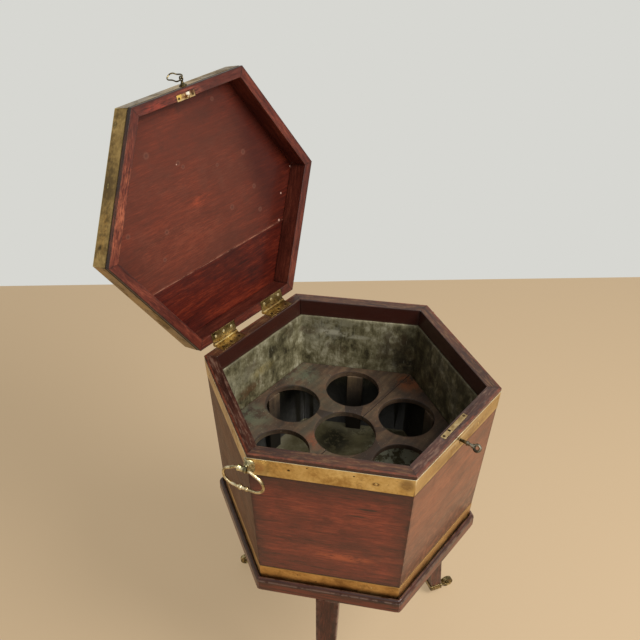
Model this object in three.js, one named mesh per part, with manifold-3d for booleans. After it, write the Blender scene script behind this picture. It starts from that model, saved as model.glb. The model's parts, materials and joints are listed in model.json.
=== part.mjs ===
// Hexagonal mahogany cellarette on a three-legged stand, brass bound, lead lined, lid open.
// Millimetres, +Z up. The lock is at the front, towards -Y, and the hinges are at the back.
// The floor is at zero height, under the wheels.

import * as THREE from 'three';
import { mergeVertices } from 'three/addons/utils/BufferGeometryUtils.js';
import Module from 'manifold-3d';

const wasm = await Module();
wasm.setup();

// Body: six tapering panels
const acrossCorners = 480;
const bodyHeight = 298.4;
const taperRun = 15; // how far each face leans in from the rim to the foot of the body
const wallThickness = 19.7;
const bottomThickness = 16;
const mitreGap = 0.3;
const fitGap = 0.3; // between pieces that lie against each other

// Brass bands round the body and the lid
const bandThickness = 1.2;
const bandProud = 0.4;
const bandGap = 0.3;
const topStrip = 7; // bare wood above the upper band
const topBandHeight = 35;
const lowBandHeight = 31.7;

// Lead liner
const leadThickness = 3;
const leadDrop = 31; // from the rim to the cut edge of the lead

// Bottle divider: two halves on six props
const dividerDrop = 137; // from the rim to the top of the divider
const dividerThickness = 10;
const dividerGap = 1.5;
const holeEdge = 12; // wood left between a hole and the edge of the divider
const holeGap = 20; // between two neighbouring holes
const middleBridge = 16; // between an outer hole and the middle one
const propWidth = 29;
const propDepth = 17;

// Lid
const lidGap = 0.3;
const lidHeight = 41;
const lidOpenDeg = 104.3;
const lidRailWidth = 17;
const lidBoardThickness = 5;
const lidBoardLap = 8.8; // how far the boards run into the rebate of the rails
const narrowBoardWidth = 110; // the board next to the hinges
const lidStrip = 8.5; // bare wood under the lid's band

// Hinges
const hingeLength = 56;
const hingeOffset = 62;
const leafThickness = 1.5;
const leafWidth = 15.5;
const knuckleRadius = 3.1;
const hingeSetback = 5.75; // from the back face of the body to the pin
const hingePinRadius = 1.3;
const hingeBoreGap = 0.25;
const knuckleCount = 5;

// Lock, let into the front rim
const selvedgeLength = 65;
const selvedgeWidth = 8;
const selvedgeThickness = 2;
const lockInset = 12.85; // from the front face at the rim to the middle of the lock
const lockLength = 54;
const lockDepth = 34;
const lockWidth = 6.4;
const lockWall = 1.6;
const keyDrop = 20; // from the rim to the key
const linkOffset = 13; // the link enters the lock this far left of the key
const linkThickness = 2.5;
const linkWidth = 4.4;
const linkDrop = 10;
const linkSlotGap = 0.5;
const boltTravel = 7;
const boltThickness = 3.6;
const boltTop = 4.6; // from the rim to the upper edge of the bolt
const boltRise = 5.2; // from the key to the lower edge of the bolt
const boltHead = 4; // bolt bar beyond the key, on the link's side
const boltTail = 24;
const tongueHeight = 2.6;
const tongueWidth = 2.2;
const tongueGap = 0.5;
const talonHalfWidth = 2.1;
const guideNear = 10; // the bolt's guides start this far right of the key
const guideHeight = 2;
const keySweepDeg = 70;

// Link plate in the lid
const linkPlateLength = 38;
const linkPlateWidth = 10;
const linkPlateThickness = 1.6;

// Key
const shankRadius = 2.3;
const shankStandOut = 22; // from the front face to the neck of the bow
const bitRadius = 7;
const bitThickness = 2;
const bitWidth = 2.6;
const bowRadius = 4.7;
const bowThickness = 1.9;
const collarRadius = 3.4;
const collarWidth = 1.8;
const keyholeGap = 0.4;
const keyholeSlotWidth = 3;

// Corner handles
const handleDrop = 22; // from the rim to the barrel
const handleStandOut = 10.3; // from the arris to the barrel
const handleYawDeg = 14;
const handlePlateWidth = 20;
const handlePlateHeight = 29;
const handlePlateThickness = 2;
const handleBossRadius = 5.4;
const handleBossRound = 1.6;
const handleStemRadius = 3;
const barrelRadius = 4.4;
const barrelLength = 15;
const barrelCollar = 0.7;
const barrelCollarWidth = 2.2;
const bailRadius = 1.75;
const bailPinRadius = 1.5;
const bailPinLength = 3;
const bailHalfWidth = 33.5;
const bailDrop = 40;
const beadRadius = 3.3;
const beadLength = 5;
const beadOffset = 5.4;

// Pull on the lid
const pullHeight = 17; // from the lid's rim to the pull
const pullBaseRadius = 6.5;
const pullBaseHeight = 5;
const pullNeckRadius = 2.1;
const pullReach = 11;
const eyeRingRadius = 3.5;
const eyeWireRadius = 1.2;
const loopLength = 31;
const loopWidth = 14;
const loopWireRadius = 1.2;
const loopTwistDeg = 35;
const loopLiftDeg = 10;

// Stand
const standThickness = 22;
const railWidth = 44;
const lipHeight = 5;
const lipGap = 2.6; // between the lower band and the lip round it
const lipTop = 1.6;
const mouldReach = 4.34; // the moulding stands out this far from the lip
const mouldFillet = 1;
const mouldSteps = 6;

// Legs
const legLength = 334;
const legTop = 38;
const legFoot = 23;
const legSplay = 37.2; // how much further out the foot stands than the top
const legRound = 1.5;
const tenonWidth = 20;
const tenonLength = 14;

// Casters
const wheelRadius = 12;
const wheelWidth = 8;
const wheelSides = 28;
const wheelDish = 1.1;
const hubRadius = 4;
const axleRadius = 1.8;
const axleGap = 0.3;
const casterTrail = 31.5;
const cupHeight = 14;
const cupWall = 1.7;
const cupFloor = 2;
const cupRound = 3;
const hornThickness = 2.4;
const hornRadius = 7;
const pivotRadius = 2.2;
const pivotHeadRadius = 4;
const pivotHeadHeight = 2.2;
const armThickness = 2;
const armHeight = 5;
const armGap = 0.7;

// Faces of the hexagon, anticlockwise seen from above; the first one looks 30 degrees off +X
const faceNames = ['back_right', 'back', 'back_left', 'front_left', 'front', 'front_right'];
const legNames = ['back', 'front_left', 'front_right'];
const headingDeg = { back: 141, front_left: 238, front_right: 329 }; // where each wheel trails

// Heights and reaches that follow from the sizes above
const halfFaceAngle = Math.PI / 6;
const faceTurn = name => halfFaceAngle * (2 * faceNames.indexOf(name) + 1);
const wheelFlat = wheelRadius * Math.cos(Math.PI / wheelSides);
const hornTop = wheelFlat + hornThickness / 2;
const cupZ = hornTop + fitGap;
const legZ = cupZ + cupFloor + fitGap;
const standZ = legZ + legLength;
const seatZ = standZ + standThickness;
const bodyZ = seatZ + fitGap;
const rimZ = bodyZ + bodyHeight;
const lidZ = rimZ + lidGap;
const linerZ = bodyZ + bottomThickness + fitGap;
const leadTopZ = rimZ - leadDrop;
const dividerZ = rimZ - dividerDrop - dividerThickness;
const rimReach = acrossCorners / 2 * Math.cos(halfFaceAngle);
const standReach = rimReach - taperRun + bandProud + lipGap + lipTop + mouldReach;
const hingeY = rimReach + hingeSetback;
const hingeZ = rimZ + lidGap / 2;
const bandLet = bandThickness - bandProud;
const lidInner = rimReach - lidRailWidth;
const lockY = lockInset - rimReach;
const lockFrontY = lockY - lockWidth / 2;
const boltY = lockFrontY + lockWall + fitGap;
const linkY = boltY + linkWidth / 2;
const keyZ = rimZ - keyDrop;
const boltTopZ = rimZ - boltTop;
const legReach = standReach - legTop / 2;
const footReach = legReach + legSplay;
const overrun = 5; // how far a cutter runs past what it cuts

// Distance of a face of the body from the axis, at a height
const outerFace = z => rimReach - taperRun * (rimZ - z) / bodyHeight;
const innerFace = z => outerFace(z) - wallThickness;
const leadOuter = z => innerFace(z) - fitGap;
const leadInner = z => leadOuter(z) - leadThickness;
const dividerReach = leadInner(dividerZ) - dividerGap;
const holeRadius = (dividerReach - holeEdge - holeGap) / 3;
const holeRing = 2 * holeRadius + holeGap; // from the axis to the middle of an outer hole
const centreHoleRadius = holeRing - holeRadius - middleBridge;

const radians = THREE.MathUtils.degToRad;

// Solids

function toSolid(geometry) {
  const bare = geometry.index ? geometry.toNonIndexed() : geometry.clone();
  bare.deleteAttribute('normal');
  bare.deleteAttribute('uv');
  const merged = mergeVertices(bare, 1e-4);
  const vertProperties = new Float32Array(merged.attributes.position.array);
  const triVerts = new Uint32Array(merged.index.array);
  return new wasm.Manifold(new wasm.Mesh({ numProp: 3, vertProperties, triVerts }));
}

function fromSolid(solid) {
  const mesh = solid.getMesh();
  const geometry = new THREE.BufferGeometry();
  geometry.setAttribute('position', new THREE.BufferAttribute(new Float32Array(mesh.vertProperties), 3));
  geometry.setIndex(new THREE.BufferAttribute(new Uint32Array(mesh.triVerts), 1));
  return geometry;
}

function join(...geometries) {
  return fromSolid(geometries.map(toSolid).reduce((all, one) => all.add(one)));
}

function cut(geometry, ...cutters) {
  return fromSolid(cutters.map(toSolid).reduce((left, cutter) => left.subtract(cutter), toSolid(geometry)));
}

function common(geometry, other) {
  return fromSolid(toSolid(geometry).intersect(toSolid(other)));
}

// A box between two values on each axis
function block([x0, x1], [y0, y1], [z0, z1]) {
  const box = new THREE.BoxGeometry(x1 - x0, y1 - y0, z1 - z0);
  return box.translate((x0 + x1) / 2, (y0 + y1) / 2, (z0 + z1) / 2);
}

// A round bar centred on the origin, along x, y or z
function bar(axis, radius, length, sides = 20) {
  const cylinder = new THREE.CylinderGeometry(radius, radius, length, sides);
  if (axis === 'x') cylinder.rotateZ(Math.PI / 2);
  if (axis === 'z') cylinder.rotateX(Math.PI / 2);
  return cylinder;
}

// A turned piece: profile points are (radius, distance along +Z) from the axis back to the axis
function turned(profile, sides = 24) {
  const points = profile.map(([radius, along]) => new THREE.Vector2(radius, along));
  return new THREE.LatheGeometry(points, sides).rotateX(Math.PI / 2);
}

// A hexagonal piece round the axis: points are (distance of the face from the axis, height)
function hexagonal(outline, ring) {
  const points = outline.map(([reach, z]) => new THREE.Vector2(reach / Math.cos(halfFaceAngle), z));
  if (ring) points.push(points[0].clone());
  return new THREE.LatheGeometry(points, 6, halfFaceAngle).rotateX(Math.PI / 2);
}

// A bar of one face of the hexagon, mitred at both ends. It looks along +X.
function mitred(outline, gap = mitreGap) {
  const shape = new THREE.Shape(outline.map(([reach, z]) => new THREE.Vector2(reach, z)));
  const geometry = new THREE.ExtrudeGeometry(shape, { depth: 1, steps: 1, bevelEnabled: false });
  const place = geometry.attributes.position;
  for (let i = 0; i < place.count; i++) {
    const reach = place.getX(i);
    const half = reach * Math.tan(halfFaceAngle) - gap / 2 / Math.cos(halfFaceAngle);
    place.setXYZ(i, reach, half - 2 * half * place.getZ(i), place.getY(i));
  }
  return geometry;
}

// A flat outline in a face's own plane of (reach, height), made square to the face
function straight(outline, width) {
  const shape = new THREE.Shape(outline.map(([reach, z]) => new THREE.Vector2(reach, z)));
  const geometry = new THREE.ExtrudeGeometry(shape, { depth: width, steps: 1, bevelEnabled: false });
  return geometry.translate(0, 0, -width / 2).rotateX(Math.PI / 2);
}

// A tapering post of rounded square section: levels give height, middle along +X and half width
function post(levels, round) {
  const arcSteps = 3;
  const rings = levels.map(({ z, x, half }) => {
    const ring = [];
    for (const [sx, sy, start] of [[1, 1, 0], [-1, 1, 90], [-1, -1, 180], [1, -1, 270]]) {
      for (let i = 0; i <= arcSteps; i++) {
        const angle = radians(start + 90 * i / arcSteps);
        const px = sx * (half - round) + round * Math.cos(angle);
        const py = sy * (half - round) + round * Math.sin(angle);
        ring.push(new THREE.Vector3(x + px, py, z));
      }
    }
    return ring;
  });
  return loft(rings);
}

// A skin over rings of points that run anticlockwise seen from above, lowest ring first
function loft(rings) {
  const size = rings[0].length;
  const positions = rings.flat().flatMap(p => [p.x, p.y, p.z]);
  const index = [];
  for (let r = 0; r + 1 < rings.length; r++) {
    for (let i = 0; i < size; i++) {
      const a = r * size + i;
      const b = r * size + (i + 1) % size;
      index.push(a, b, b + size, a, b + size, a + size);
    }
  }
  const top = (rings.length - 1) * size;
  for (let i = 1; i + 1 < size; i++) {
    index.push(0, i + 1, i, top, top + i, top + i + 1);
  }
  const geometry = new THREE.BufferGeometry();
  geometry.setAttribute('position', new THREE.Float32BufferAttribute(positions, 3));
  geometry.setIndex(index);
  return geometry;
}

// Round wire along a smooth line through points
function wire(points, radius, steps, sides = 10) {
  const path = new THREE.CatmullRomCurve3(points, false, 'centripetal');
  const ring = [];
  for (let i = 0; i < sides; i++) {
    const angle = 2 * Math.PI * i / sides;
    ring.push(new THREE.Vector2(radius * Math.cos(angle), radius * Math.sin(angle)));
  }
  return new THREE.ExtrudeGeometry(new THREE.Shape(ring), { steps, bevelEnabled: false, extrudePath: path });
}

// A closed loop of round wire through points of the XZ plane
function flatRing(points, radius, steps, sides) {
  const path = new THREE.CatmullRomCurve3(points, true, 'centripetal');
  const positions = [];
  const index = [];
  for (let i = 0; i < steps; i++) {
    const middle = path.getPointAt(i / steps);
    const ahead = path.getTangentAt(i / steps);
    for (let j = 0; j < sides; j++) {
      const angle = 2 * Math.PI * j / sides;
      const across = radius * Math.cos(angle);
      positions.push(middle.x + across * ahead.z, radius * Math.sin(angle), middle.z - across * ahead.x);
      const a = i * sides + j;
      const b = i * sides + (j + 1) % sides;
      const c = (i + 1) % steps * sides + (j + 1) % sides;
      const d = (i + 1) % steps * sides + j;
      index.push(a, b, c, a, c, d);
    }
  }
  const geometry = new THREE.BufferGeometry();
  geometry.setAttribute('position', new THREE.Float32BufferAttribute(positions, 3));
  geometry.setIndex(index);
  return geometry;
}

// Materials

const wood = new THREE.MeshStandardMaterial({ color: 0x5c2a20, roughness: 0.45, metalness: 0 });
const lidWood = new THREE.MeshStandardMaterial({ color: 0x6b3024, roughness: 0.5, metalness: 0 });
const dividerWood = new THREE.MeshStandardMaterial({ color: 0x4b3c32, roughness: 0.8, metalness: 0 });
const lead = new THREE.MeshStandardMaterial({ color: 0x62624f, roughness: 0.7, metalness: 0.4 });
const brass = new THREE.MeshStandardMaterial({ color: 0xb08d4c, roughness: 0.4, metalness: 0.9 });
const darkBrass = new THREE.MeshStandardMaterial({ color: 0x6f6238, roughness: 0.5, metalness: 0.9 });
const steel = new THREE.MeshStandardMaterial({ color: 0x4a4742, roughness: 0.5, metalness: 0.9 });

const cellarette = new THREE.Group();
const lid = new THREE.Group();

function add(name, geometry, material, parent = cellarette) {
  const mesh = new THREE.Mesh(geometry, material);
  mesh.name = name;
  parent.add(mesh);
  return mesh;
}

// Body panels

const topBandZ = rimZ - topStrip - topBandHeight;
const bandSeat = z => outerFace(z) - bandLet - bandGap;

function panelOutline() {
  const topBandTop = rimZ - topStrip + bandGap;
  const topBandBottom = topBandZ - bandGap;
  const lowBandTop = bodyZ + lowBandHeight + bandGap;
  return [
    [innerFace(bodyZ), bodyZ], [bandSeat(bodyZ), bodyZ],
    [bandSeat(lowBandTop), lowBandTop], [outerFace(lowBandTop), lowBandTop],
    [outerFace(topBandBottom), topBandBottom], [bandSeat(topBandBottom), topBandBottom],
    [bandSeat(topBandTop), topBandTop], [outerFace(topBandTop), topBandTop],
    [rimReach, rimZ], [innerFace(rimZ), rimZ],
  ];
}

// The keyhole runs from inside the lock out through the wall and its band
function keyhole(gap) {
  const front = -rimReach - overrun;
  const round = bar('y', shankRadius + gap, lockY - front, 16).translate(0, (lockY + front) / 2, keyZ);
  const half = keyholeSlotWidth / 2;
  const slot = block([-half, half], [front, lockY], [keyZ - bitRadius - gap, keyZ]);
  return join(round, slot);
}

function lockMortise() {
  const well = block([-lockLength / 2 - fitGap, lockLength / 2 + fitGap],
    [lockY - lockWidth / 2 - fitGap, lockY + lockWidth / 2 + fitGap],
    [rimZ - lockDepth - fitGap, rimZ + overrun]);
  const shelf = block([-selvedgeLength / 2 - fitGap, selvedgeLength / 2 + fitGap],
    [lockY - selvedgeWidth / 2 - fitGap, lockY + selvedgeWidth / 2 + fitGap],
    [rimZ - selvedgeThickness - fitGap, rimZ + overrun]);
  return join(well, shelf);
}

// The bed of a hinge leaf: side is -1 for the body below the joint and 1 for the lid above it
function leafBed(x, side) {
  const near = side > 0 ? lidZ : rimZ;
  const deep = near + side * (leafThickness + fitGap);
  const heights = [deep, near - side * overrun].sort((a, b) => a - b);
  return block([x - hingeLength / 2 - fitGap, x + hingeLength / 2 + fitGap],
    [rimReach - leafWidth - fitGap, rimReach + overrun], heights);
}

for (const name of faceNames) {
  let panel = mitred(panelOutline()).rotateZ(faceTurn(name));
  if (name === 'back') panel = cut(panel, leafBed(-hingeOffset, -1), leafBed(hingeOffset, -1));
  if (name === 'front') panel = cut(panel, lockMortise(), keyhole(keyholeGap));
  add(`panel_${name}`, panel, wood);
}

const bottomTop = bodyZ + bottomThickness;
add('carcass_bottom', hexagonal([
  [0, bodyZ], [innerFace(bodyZ) - fitGap, bodyZ], [innerFace(bottomTop) - fitGap, bottomTop], [0, bottomTop],
]), wood);

// Brass bands of the body

function bandOutline(z0, z1) {
  return [
    [outerFace(z0) - bandLet, z0], [outerFace(z0) + bandProud, z0],
    [outerFace(z1) + bandProud, z1], [outerFace(z1) - bandLet, z1],
  ];
}

add('band_top', cut(hexagonal(bandOutline(topBandZ, topBandZ + topBandHeight), true), keyhole(keyholeGap)), brass);
add('band_bottom', hexagonal(bandOutline(bodyZ, bodyZ + lowBandHeight), true), brass);

// Lead liner

const linerFloor = linerZ + leadThickness;
add('lead_liner', hexagonal([
  [0, linerZ], [leadOuter(linerZ), linerZ], [leadOuter(leadTopZ), leadTopZ],
  [leadInner(leadTopZ), leadTopZ], [leadInner(linerFloor), linerFloor], [0, linerFloor],
]), lead);

// Bottle divider

// One half of the divider, on the +Y side, with three whole holes and half of the middle one
function dividerHalf() {
  const corner = dividerReach / Math.cos(halfFaceAngle);
  const joint = fitGap / 2;
  const start = Math.asin(joint / centreHoleRadius);
  const notch = centreHoleRadius * Math.cos(start);
  const shape = new THREE.Shape();
  shape.moveTo(notch, joint);
  shape.lineTo(corner - joint * Math.tan(halfFaceAngle), joint);
  shape.lineTo(corner / 2, dividerReach);
  shape.lineTo(-corner / 2, dividerReach);
  shape.lineTo(-corner + joint * Math.tan(halfFaceAngle), joint);
  shape.lineTo(-notch, joint);
  shape.absarc(0, 0, centreHoleRadius, Math.PI - start, start, true);
  for (const name of ['back_right', 'back', 'back_left']) {
    const hole = new THREE.Path();
    const angle = faceTurn(name);
    hole.absarc(holeRing * Math.cos(angle), holeRing * Math.sin(angle), holeRadius, 0, 2 * Math.PI, true);
    shape.holes.push(hole);
  }
  const options = { depth: dividerThickness, steps: 1, bevelEnabled: false, curveSegments: 18 };
  return new THREE.ExtrudeGeometry(shape, options).translate(0, 0, dividerZ);
}

add('divider_back', dividerHalf(), dividerWood);
add('divider_front', dividerHalf().rotateZ(Math.PI), dividerWood);

const propTop = dividerZ - fitGap;
const propFoot = linerFloor + fitGap;
for (const name of faceNames) {
  const prop = straight([
    [leadInner(propTop) - propDepth, propFoot], [leadInner(propFoot) - fitGap, propFoot],
    [leadInner(propTop) - fitGap, propTop], [leadInner(propTop) - propDepth, propTop],
  ], propWidth);
  add(`prop_${name}`, prop.rotateZ(faceTurn(name)), dividerWood);
}

// Lid, drawn shut on the rim

const lidTopZ = lidZ + lidHeight;
const boardZ = lidTopZ - lidBoardThickness;
const boardReach = lidInner + lidBoardLap;
const boardJointY = boardReach - narrowBoardWidth;

function lidRailOutline() {
  const stripTop = lidZ + lidStrip - bandGap;
  const seat = rimReach - bandLet - bandGap;
  return [
    [lidInner, lidZ], [rimReach, lidZ], [rimReach, stripTop], [seat, stripTop], [seat, lidTopZ],
    [boardReach, lidTopZ], [boardReach, boardZ - fitGap], [lidInner, boardZ - fitGap],
  ];
}

function linkPlateBed() {
  return block([-linkOffset - linkPlateLength / 2 - fitGap, -linkOffset + linkPlateLength / 2 + fitGap],
    [lockY - linkPlateWidth / 2 - fitGap, lockY + linkPlateWidth / 2 + fitGap],
    [lidZ - overrun, lidZ + linkPlateThickness + fitGap]);
}

for (const name of faceNames) {
  let rail = mitred(lidRailOutline()).rotateZ(faceTurn(name));
  if (name === 'back') rail = cut(rail, leafBed(-hingeOffset, 1), leafBed(hingeOffset, 1));
  if (name === 'front') rail = cut(rail, linkPlateBed());
  add(`lid_rail_${name}`, rail, wood, lid);
}

// The two boards of the lid meet on a line that runs along the hinges
function lidBoard(y0, y1) {
  const reach = boardReach - fitGap;
  const whole = hexagonal([[0, boardZ], [reach, boardZ], [reach, lidTopZ], [0, lidTopZ]]);
  return common(whole, block([-acrossCorners, acrossCorners], [y0, y1], [boardZ - overrun, lidTopZ + overrun]));
}

add('lid_board_wide', lidBoard(-acrossCorners, boardJointY - fitGap / 2), lidWood, lid);
add('lid_board_narrow', lidBoard(boardJointY + fitGap / 2, acrossCorners), lidWood, lid);

add('lid_band', hexagonal([
  [rimReach - bandLet, lidZ + lidStrip], [rimReach + bandProud, lidZ + lidStrip],
  [rimReach + bandProud, lidTopZ], [rimReach - bandLet, lidTopZ],
], true), darkBrass, lid);

// Link plate with the link that drops into the lock
function linkPlate() {
  const plate = block([-linkOffset - linkPlateLength / 2, -linkOffset + linkPlateLength / 2],
    [lockY - linkPlateWidth / 2, lockY + linkPlateWidth / 2], [lidZ, lidZ + linkPlateThickness]);
  const link = block([-linkOffset - linkThickness / 2, -linkOffset + linkThickness / 2],
    [linkY - linkWidth / 2, linkY + linkWidth / 2], [rimZ - linkDrop, lidZ + linkPlateThickness / 2]);
  const eyeHalf = tongueWidth / 2 + fitGap;
  const eye = block([-linkOffset - overrun, -linkOffset + overrun], [linkY - eyeHalf, linkY + eyeHalf],
    [boltTopZ - tongueHeight - tongueGap, boltTopZ + tongueGap]);
  return cut(join(plate, link), eye);
}

add('link_plate', linkPlate(), brass, lid);

// Hinges: the pin is riveted into the body's leaf, and the lid's knuckles turn on it

function hingeLeaf(x, side) {
  const near = hingeZ + side * fitGap / 2;
  const heights = [near, near + side * leafThickness].sort((a, b) => a - b);
  const plateEdge = hingeY - knuckleRadius - fitGap;
  const plate = block([x - hingeLength / 2, x + hingeLength / 2], [rimReach - leafWidth, plateEdge], heights);
  const pitch = hingeLength / knuckleCount;
  const pieces = [plate];
  for (let i = side > 0 ? 1 : 0; i < knuckleCount; i += 2) {
    const middle = x - hingeLength / 2 + pitch * (i + 0.5);
    const half = pitch / 2 - fitGap / 2;
    pieces.push(block([middle - half, middle + half], [plateEdge - leafThickness, hingeY], heights));
    pieces.push(bar('x', knuckleRadius, 2 * half, 16).translate(middle, hingeY, hingeZ));
  }
  const leaf = join(...pieces);
  if (side < 0) return join(leaf, bar('x', hingePinRadius, hingeLength - fitGap, 12).translate(x, hingeY, hingeZ));
  return cut(leaf, bar('x', hingePinRadius + hingeBoreGap, hingeLength, 12).translate(x, hingeY, hingeZ));
}

for (const [name, x] of [['left', -hingeOffset], ['right', hingeOffset]]) {
  add(`hinge_${name}_body_leaf`, hingeLeaf(x, -1), brass);
  add(`hinge_${name}_lid_leaf`, hingeLeaf(x, 1), brass, lid);
}

// Lock: a case open towards the inside, a bolt that slides in it, and the key

function lockCase() {
  const bottom = rimZ - lockDepth;
  const ceiling = rimZ - selvedgeThickness;
  const box = block([-lockLength / 2, lockLength / 2], [lockFrontY, lockFrontY + lockWidth], [bottom, ceiling]);
  const selvedge = block([-selvedgeLength / 2, selvedgeLength / 2],
    [lockY - selvedgeWidth / 2, lockY + selvedgeWidth / 2], [ceiling, rimZ]);
  const inside = block([-lockLength / 2 + lockWall, lockLength / 2 - lockWall],
    [lockFrontY + lockWall, lockFrontY + lockWidth + overrun], [bottom + lockWall, ceiling]);
  const slotHalf = linkThickness / 2 + linkSlotGap;
  const slot = block([-linkOffset - slotHalf, -linkOffset + slotHalf],
    [linkY - linkWidth / 2 - fitGap, linkY + linkWidth / 2 + fitGap], [ceiling - fitGap, rimZ + overrun]);
  const guideDepth = [lockFrontY + lockWall / 2, boltY + boltThickness];
  const low = keyZ + boltRise - fitGap;
  const underGuide = block([guideNear, boltTail], guideDepth, [low - guideHeight, low]);
  const overGuide = block([guideNear, boltTail], guideDepth, [boltTopZ + fitGap, ceiling + selvedgeThickness / 2]);
  return cut(join(cut(join(box, selvedge), inside), underGuide, overGuide), slot, keyhole(keyholeGap));
}

function lockBolt() {
  const low = keyZ + boltRise;
  const tongueEnd = -linkOffset + linkThickness / 2 + tongueGap;
  const body = block([-boltHead, boltTail], [boltY, boltY + boltThickness], [low, boltTopZ]);
  const tongue = block([tongueEnd, 0], [linkY - tongueWidth / 2, linkY + tongueWidth / 2],
    [boltTopZ - tongueHeight, boltTopZ]);
  const middle = boltTravel / 2;
  const talon = block([middle - talonHalfWidth, middle + talonHalfWidth],
    [boltY - overrun, boltY + boltThickness + overrun], [low - overrun, keyZ + bitRadius + fitGap]);
  return cut(join(body, tongue), talon);
}

function doorKey() {
  const tip = boltY + bitWidth;
  const neck = -rimReach - shankStandOut;
  const shank = bar('y', shankRadius, tip - neck, 16).translate(0, (tip + neck) / 2, 0);
  const bit = block([-bitThickness / 2, bitThickness / 2], [boltY, tip], [0, bitRadius]);
  const collar = bar('y', collarRadius, collarWidth, 16);
  const inner = collar.clone().translate(0, -rimReach - bandProud - shankStandOut / 2, 0);
  const outer = collar.clone().translate(0, neck + collarWidth, 0);
  const bow = new THREE.TorusGeometry(bowRadius, bowThickness, 8, 20).rotateY(Math.PI / 2);
  bow.translate(0, neck - bowRadius, 0);
  return join(shank, bit, inner, outer, bow);
}

add('lock_case', lockCase(), brass);
add('lock_bolt', lockBolt(), steel);
add('key', doorKey().rotateY(radians(keySweepDeg / 2)).translate(0, 0, keyZ), steel);

// Corner handles. They are drawn for the corner on +X.

const handleZ = rimZ - handleDrop;
const arris = (outerFace(handleZ) + bandProud) / Math.cos(halfFaceAngle);
const barrelX = arris + handleStandOut;

function handlePost(yaw) {
  const plateZ = topBandZ + topBandHeight / 2;
  const under = z => outerFace(z) + bandProud + fitGap;
  const z0 = topBandZ - overrun;
  const z1 = rimZ + overrun;
  const skin = hexagonal([
    [under(z0), z0], [under(z0) + handlePlateThickness, z0],
    [under(z1) + handlePlateThickness, z1], [under(z1), z1],
  ], true);
  const halfWidth = handlePlateWidth / 2;
  const halfHeight = handlePlateHeight / 2;
  const outline = new THREE.Shape();
  outline.moveTo(-halfHeight + halfWidth, -halfWidth);
  outline.absarc(halfHeight - halfWidth, 0, halfWidth, -Math.PI / 2, Math.PI / 2, false);
  outline.absarc(-halfHeight + halfWidth, 0, halfWidth, Math.PI / 2, Math.PI * 3 / 2, false);
  const stamp = new THREE.ExtrudeGeometry(outline, { depth: acrossCorners, bevelEnabled: false, curveSegments: 8 });
  stamp.rotateY(Math.PI / 2).translate(0, 0, plateZ);
  const plate = common(skin, stamp);
  const face = arris + handlePlateThickness;
  const stem = bar('x', handleStemRadius, barrelX - face, 16).translate((barrelX + face) / 2, 0, handleZ);
  const boss = turned([
    [0, 0], [handleBossRadius, 0], [handleBossRadius, handleBossRound],
    [handleBossRadius - handleBossRound, 2 * handleBossRound], [0, 2 * handleBossRound],
  ], 16).rotateY(Math.PI / 2).translate(face - handleBossRound, 0, handleZ);
  const tube = bar('y', barrelRadius, barrelLength, 16);
  const end = bar('y', barrelRadius + barrelCollar, barrelCollarWidth, 16);
  const collarY = barrelLength / 2 - barrelCollarWidth / 2;
  const pinBore = bar('y', bailPinRadius + fitGap, 2 * (bailPinLength + fitGap), 12);
  const barrel = cut(
    join(tube, end.clone().translate(0, collarY, 0), end.clone().translate(0, -collarY, 0)),
    pinBore.clone().translate(0, barrelLength / 2, 0), pinBore.clone().translate(0, -barrelLength / 2, 0),
  ).rotateZ(yaw).translate(barrelX, 0, handleZ);
  return join(cut(join(plate, boss, stem), bar('y', barrelRadius - fitGap, barrelLength, 16)
    .rotateZ(yaw).translate(barrelX, 0, handleZ)), barrel);
}

// The bail's line from the barrel to the middle of the grip, as shares of its half width and drop
const bailShares = [
  [0.36, 0.02], [0.6, 0.15], [0.86, 0.29], [1, 0.52], [0.93, 0.79], [0.68, 0.96], [0.36, 1], [0, 0.99],
];

function handleBail(yaw) {
  const start = barrelLength / 2 + fitGap;
  const half = [new THREE.Vector3(0, start, 0)];
  for (const [across, down] of bailShares) {
    half.push(new THREE.Vector3(0, across * bailHalfWidth, -down * bailDrop));
  }
  const other = half.slice(0, -1).reverse().map(p => new THREE.Vector3(0, -p.y, p.z));
  const grip = wire([...half, ...other], bailRadius, 56);
  const pin = bar('y', bailPinRadius, bailPinLength + bailRadius, 12);
  const pinY = barrelLength / 2 - bailPinLength + (bailPinLength + bailRadius) / 2;
  const bead = new THREE.SphereGeometry(beadRadius, 14, 10).scale(1, beadLength / 2 / beadRadius, 1);
  bead.translate(0, 0, -bailDrop);
  return join(grip, pin.clone().translate(0, pinY, 0), pin.clone().translate(0, -pinY, 0),
    bead.clone().translate(0, beadOffset, 0), bead.clone().translate(0, -beadOffset, 0),
  ).rotateZ(yaw).translate(barrelX, 0, handleZ);
}

for (const [name, turn, yaw] of [['left', Math.PI, radians(handleYawDeg)], ['right', 0, 0]]) {
  add(`handle_${name}_post`, handlePost(yaw).rotateZ(turn), brass);
  add(`handle_${name}_bail`, handleBail(yaw).rotateZ(turn), brass);
}

// Pull on the front of the lid: a turned post with an eye, and a loose loop through it

const pullZ = lidZ + pullHeight;
const pullFaceY = -rimReach - bandProud - fitGap;

function pullPost() {
  const neckEnd = pullReach - eyeRingRadius;
  const stem = turned([
    [0, 0], [pullBaseRadius, 0], [pullBaseRadius, pullBaseHeight / 5],
    [pullBaseRadius * 0.6, pullBaseHeight / 2], [pullNeckRadius, pullBaseHeight],
    [pullNeckRadius, neckEnd], [0, neckEnd],
  ], 18);
  const eye = new THREE.TorusGeometry(eyeRingRadius, eyeWireRadius, 8, 20).rotateY(Math.PI / 2);
  return join(stem, eye.translate(0, 0, pullReach)).rotateX(Math.PI / 2).translate(0, pullFaceY, pullZ);
}

// The loop's line from the eye to its far end, as shares of its half width and length
const loopShares = [[0, 0], [0.6, 0.02], [1, 0.16], [0.86, 0.5], [0.94, 0.84], [0.55, 0.98], [0, 1]];

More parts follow.
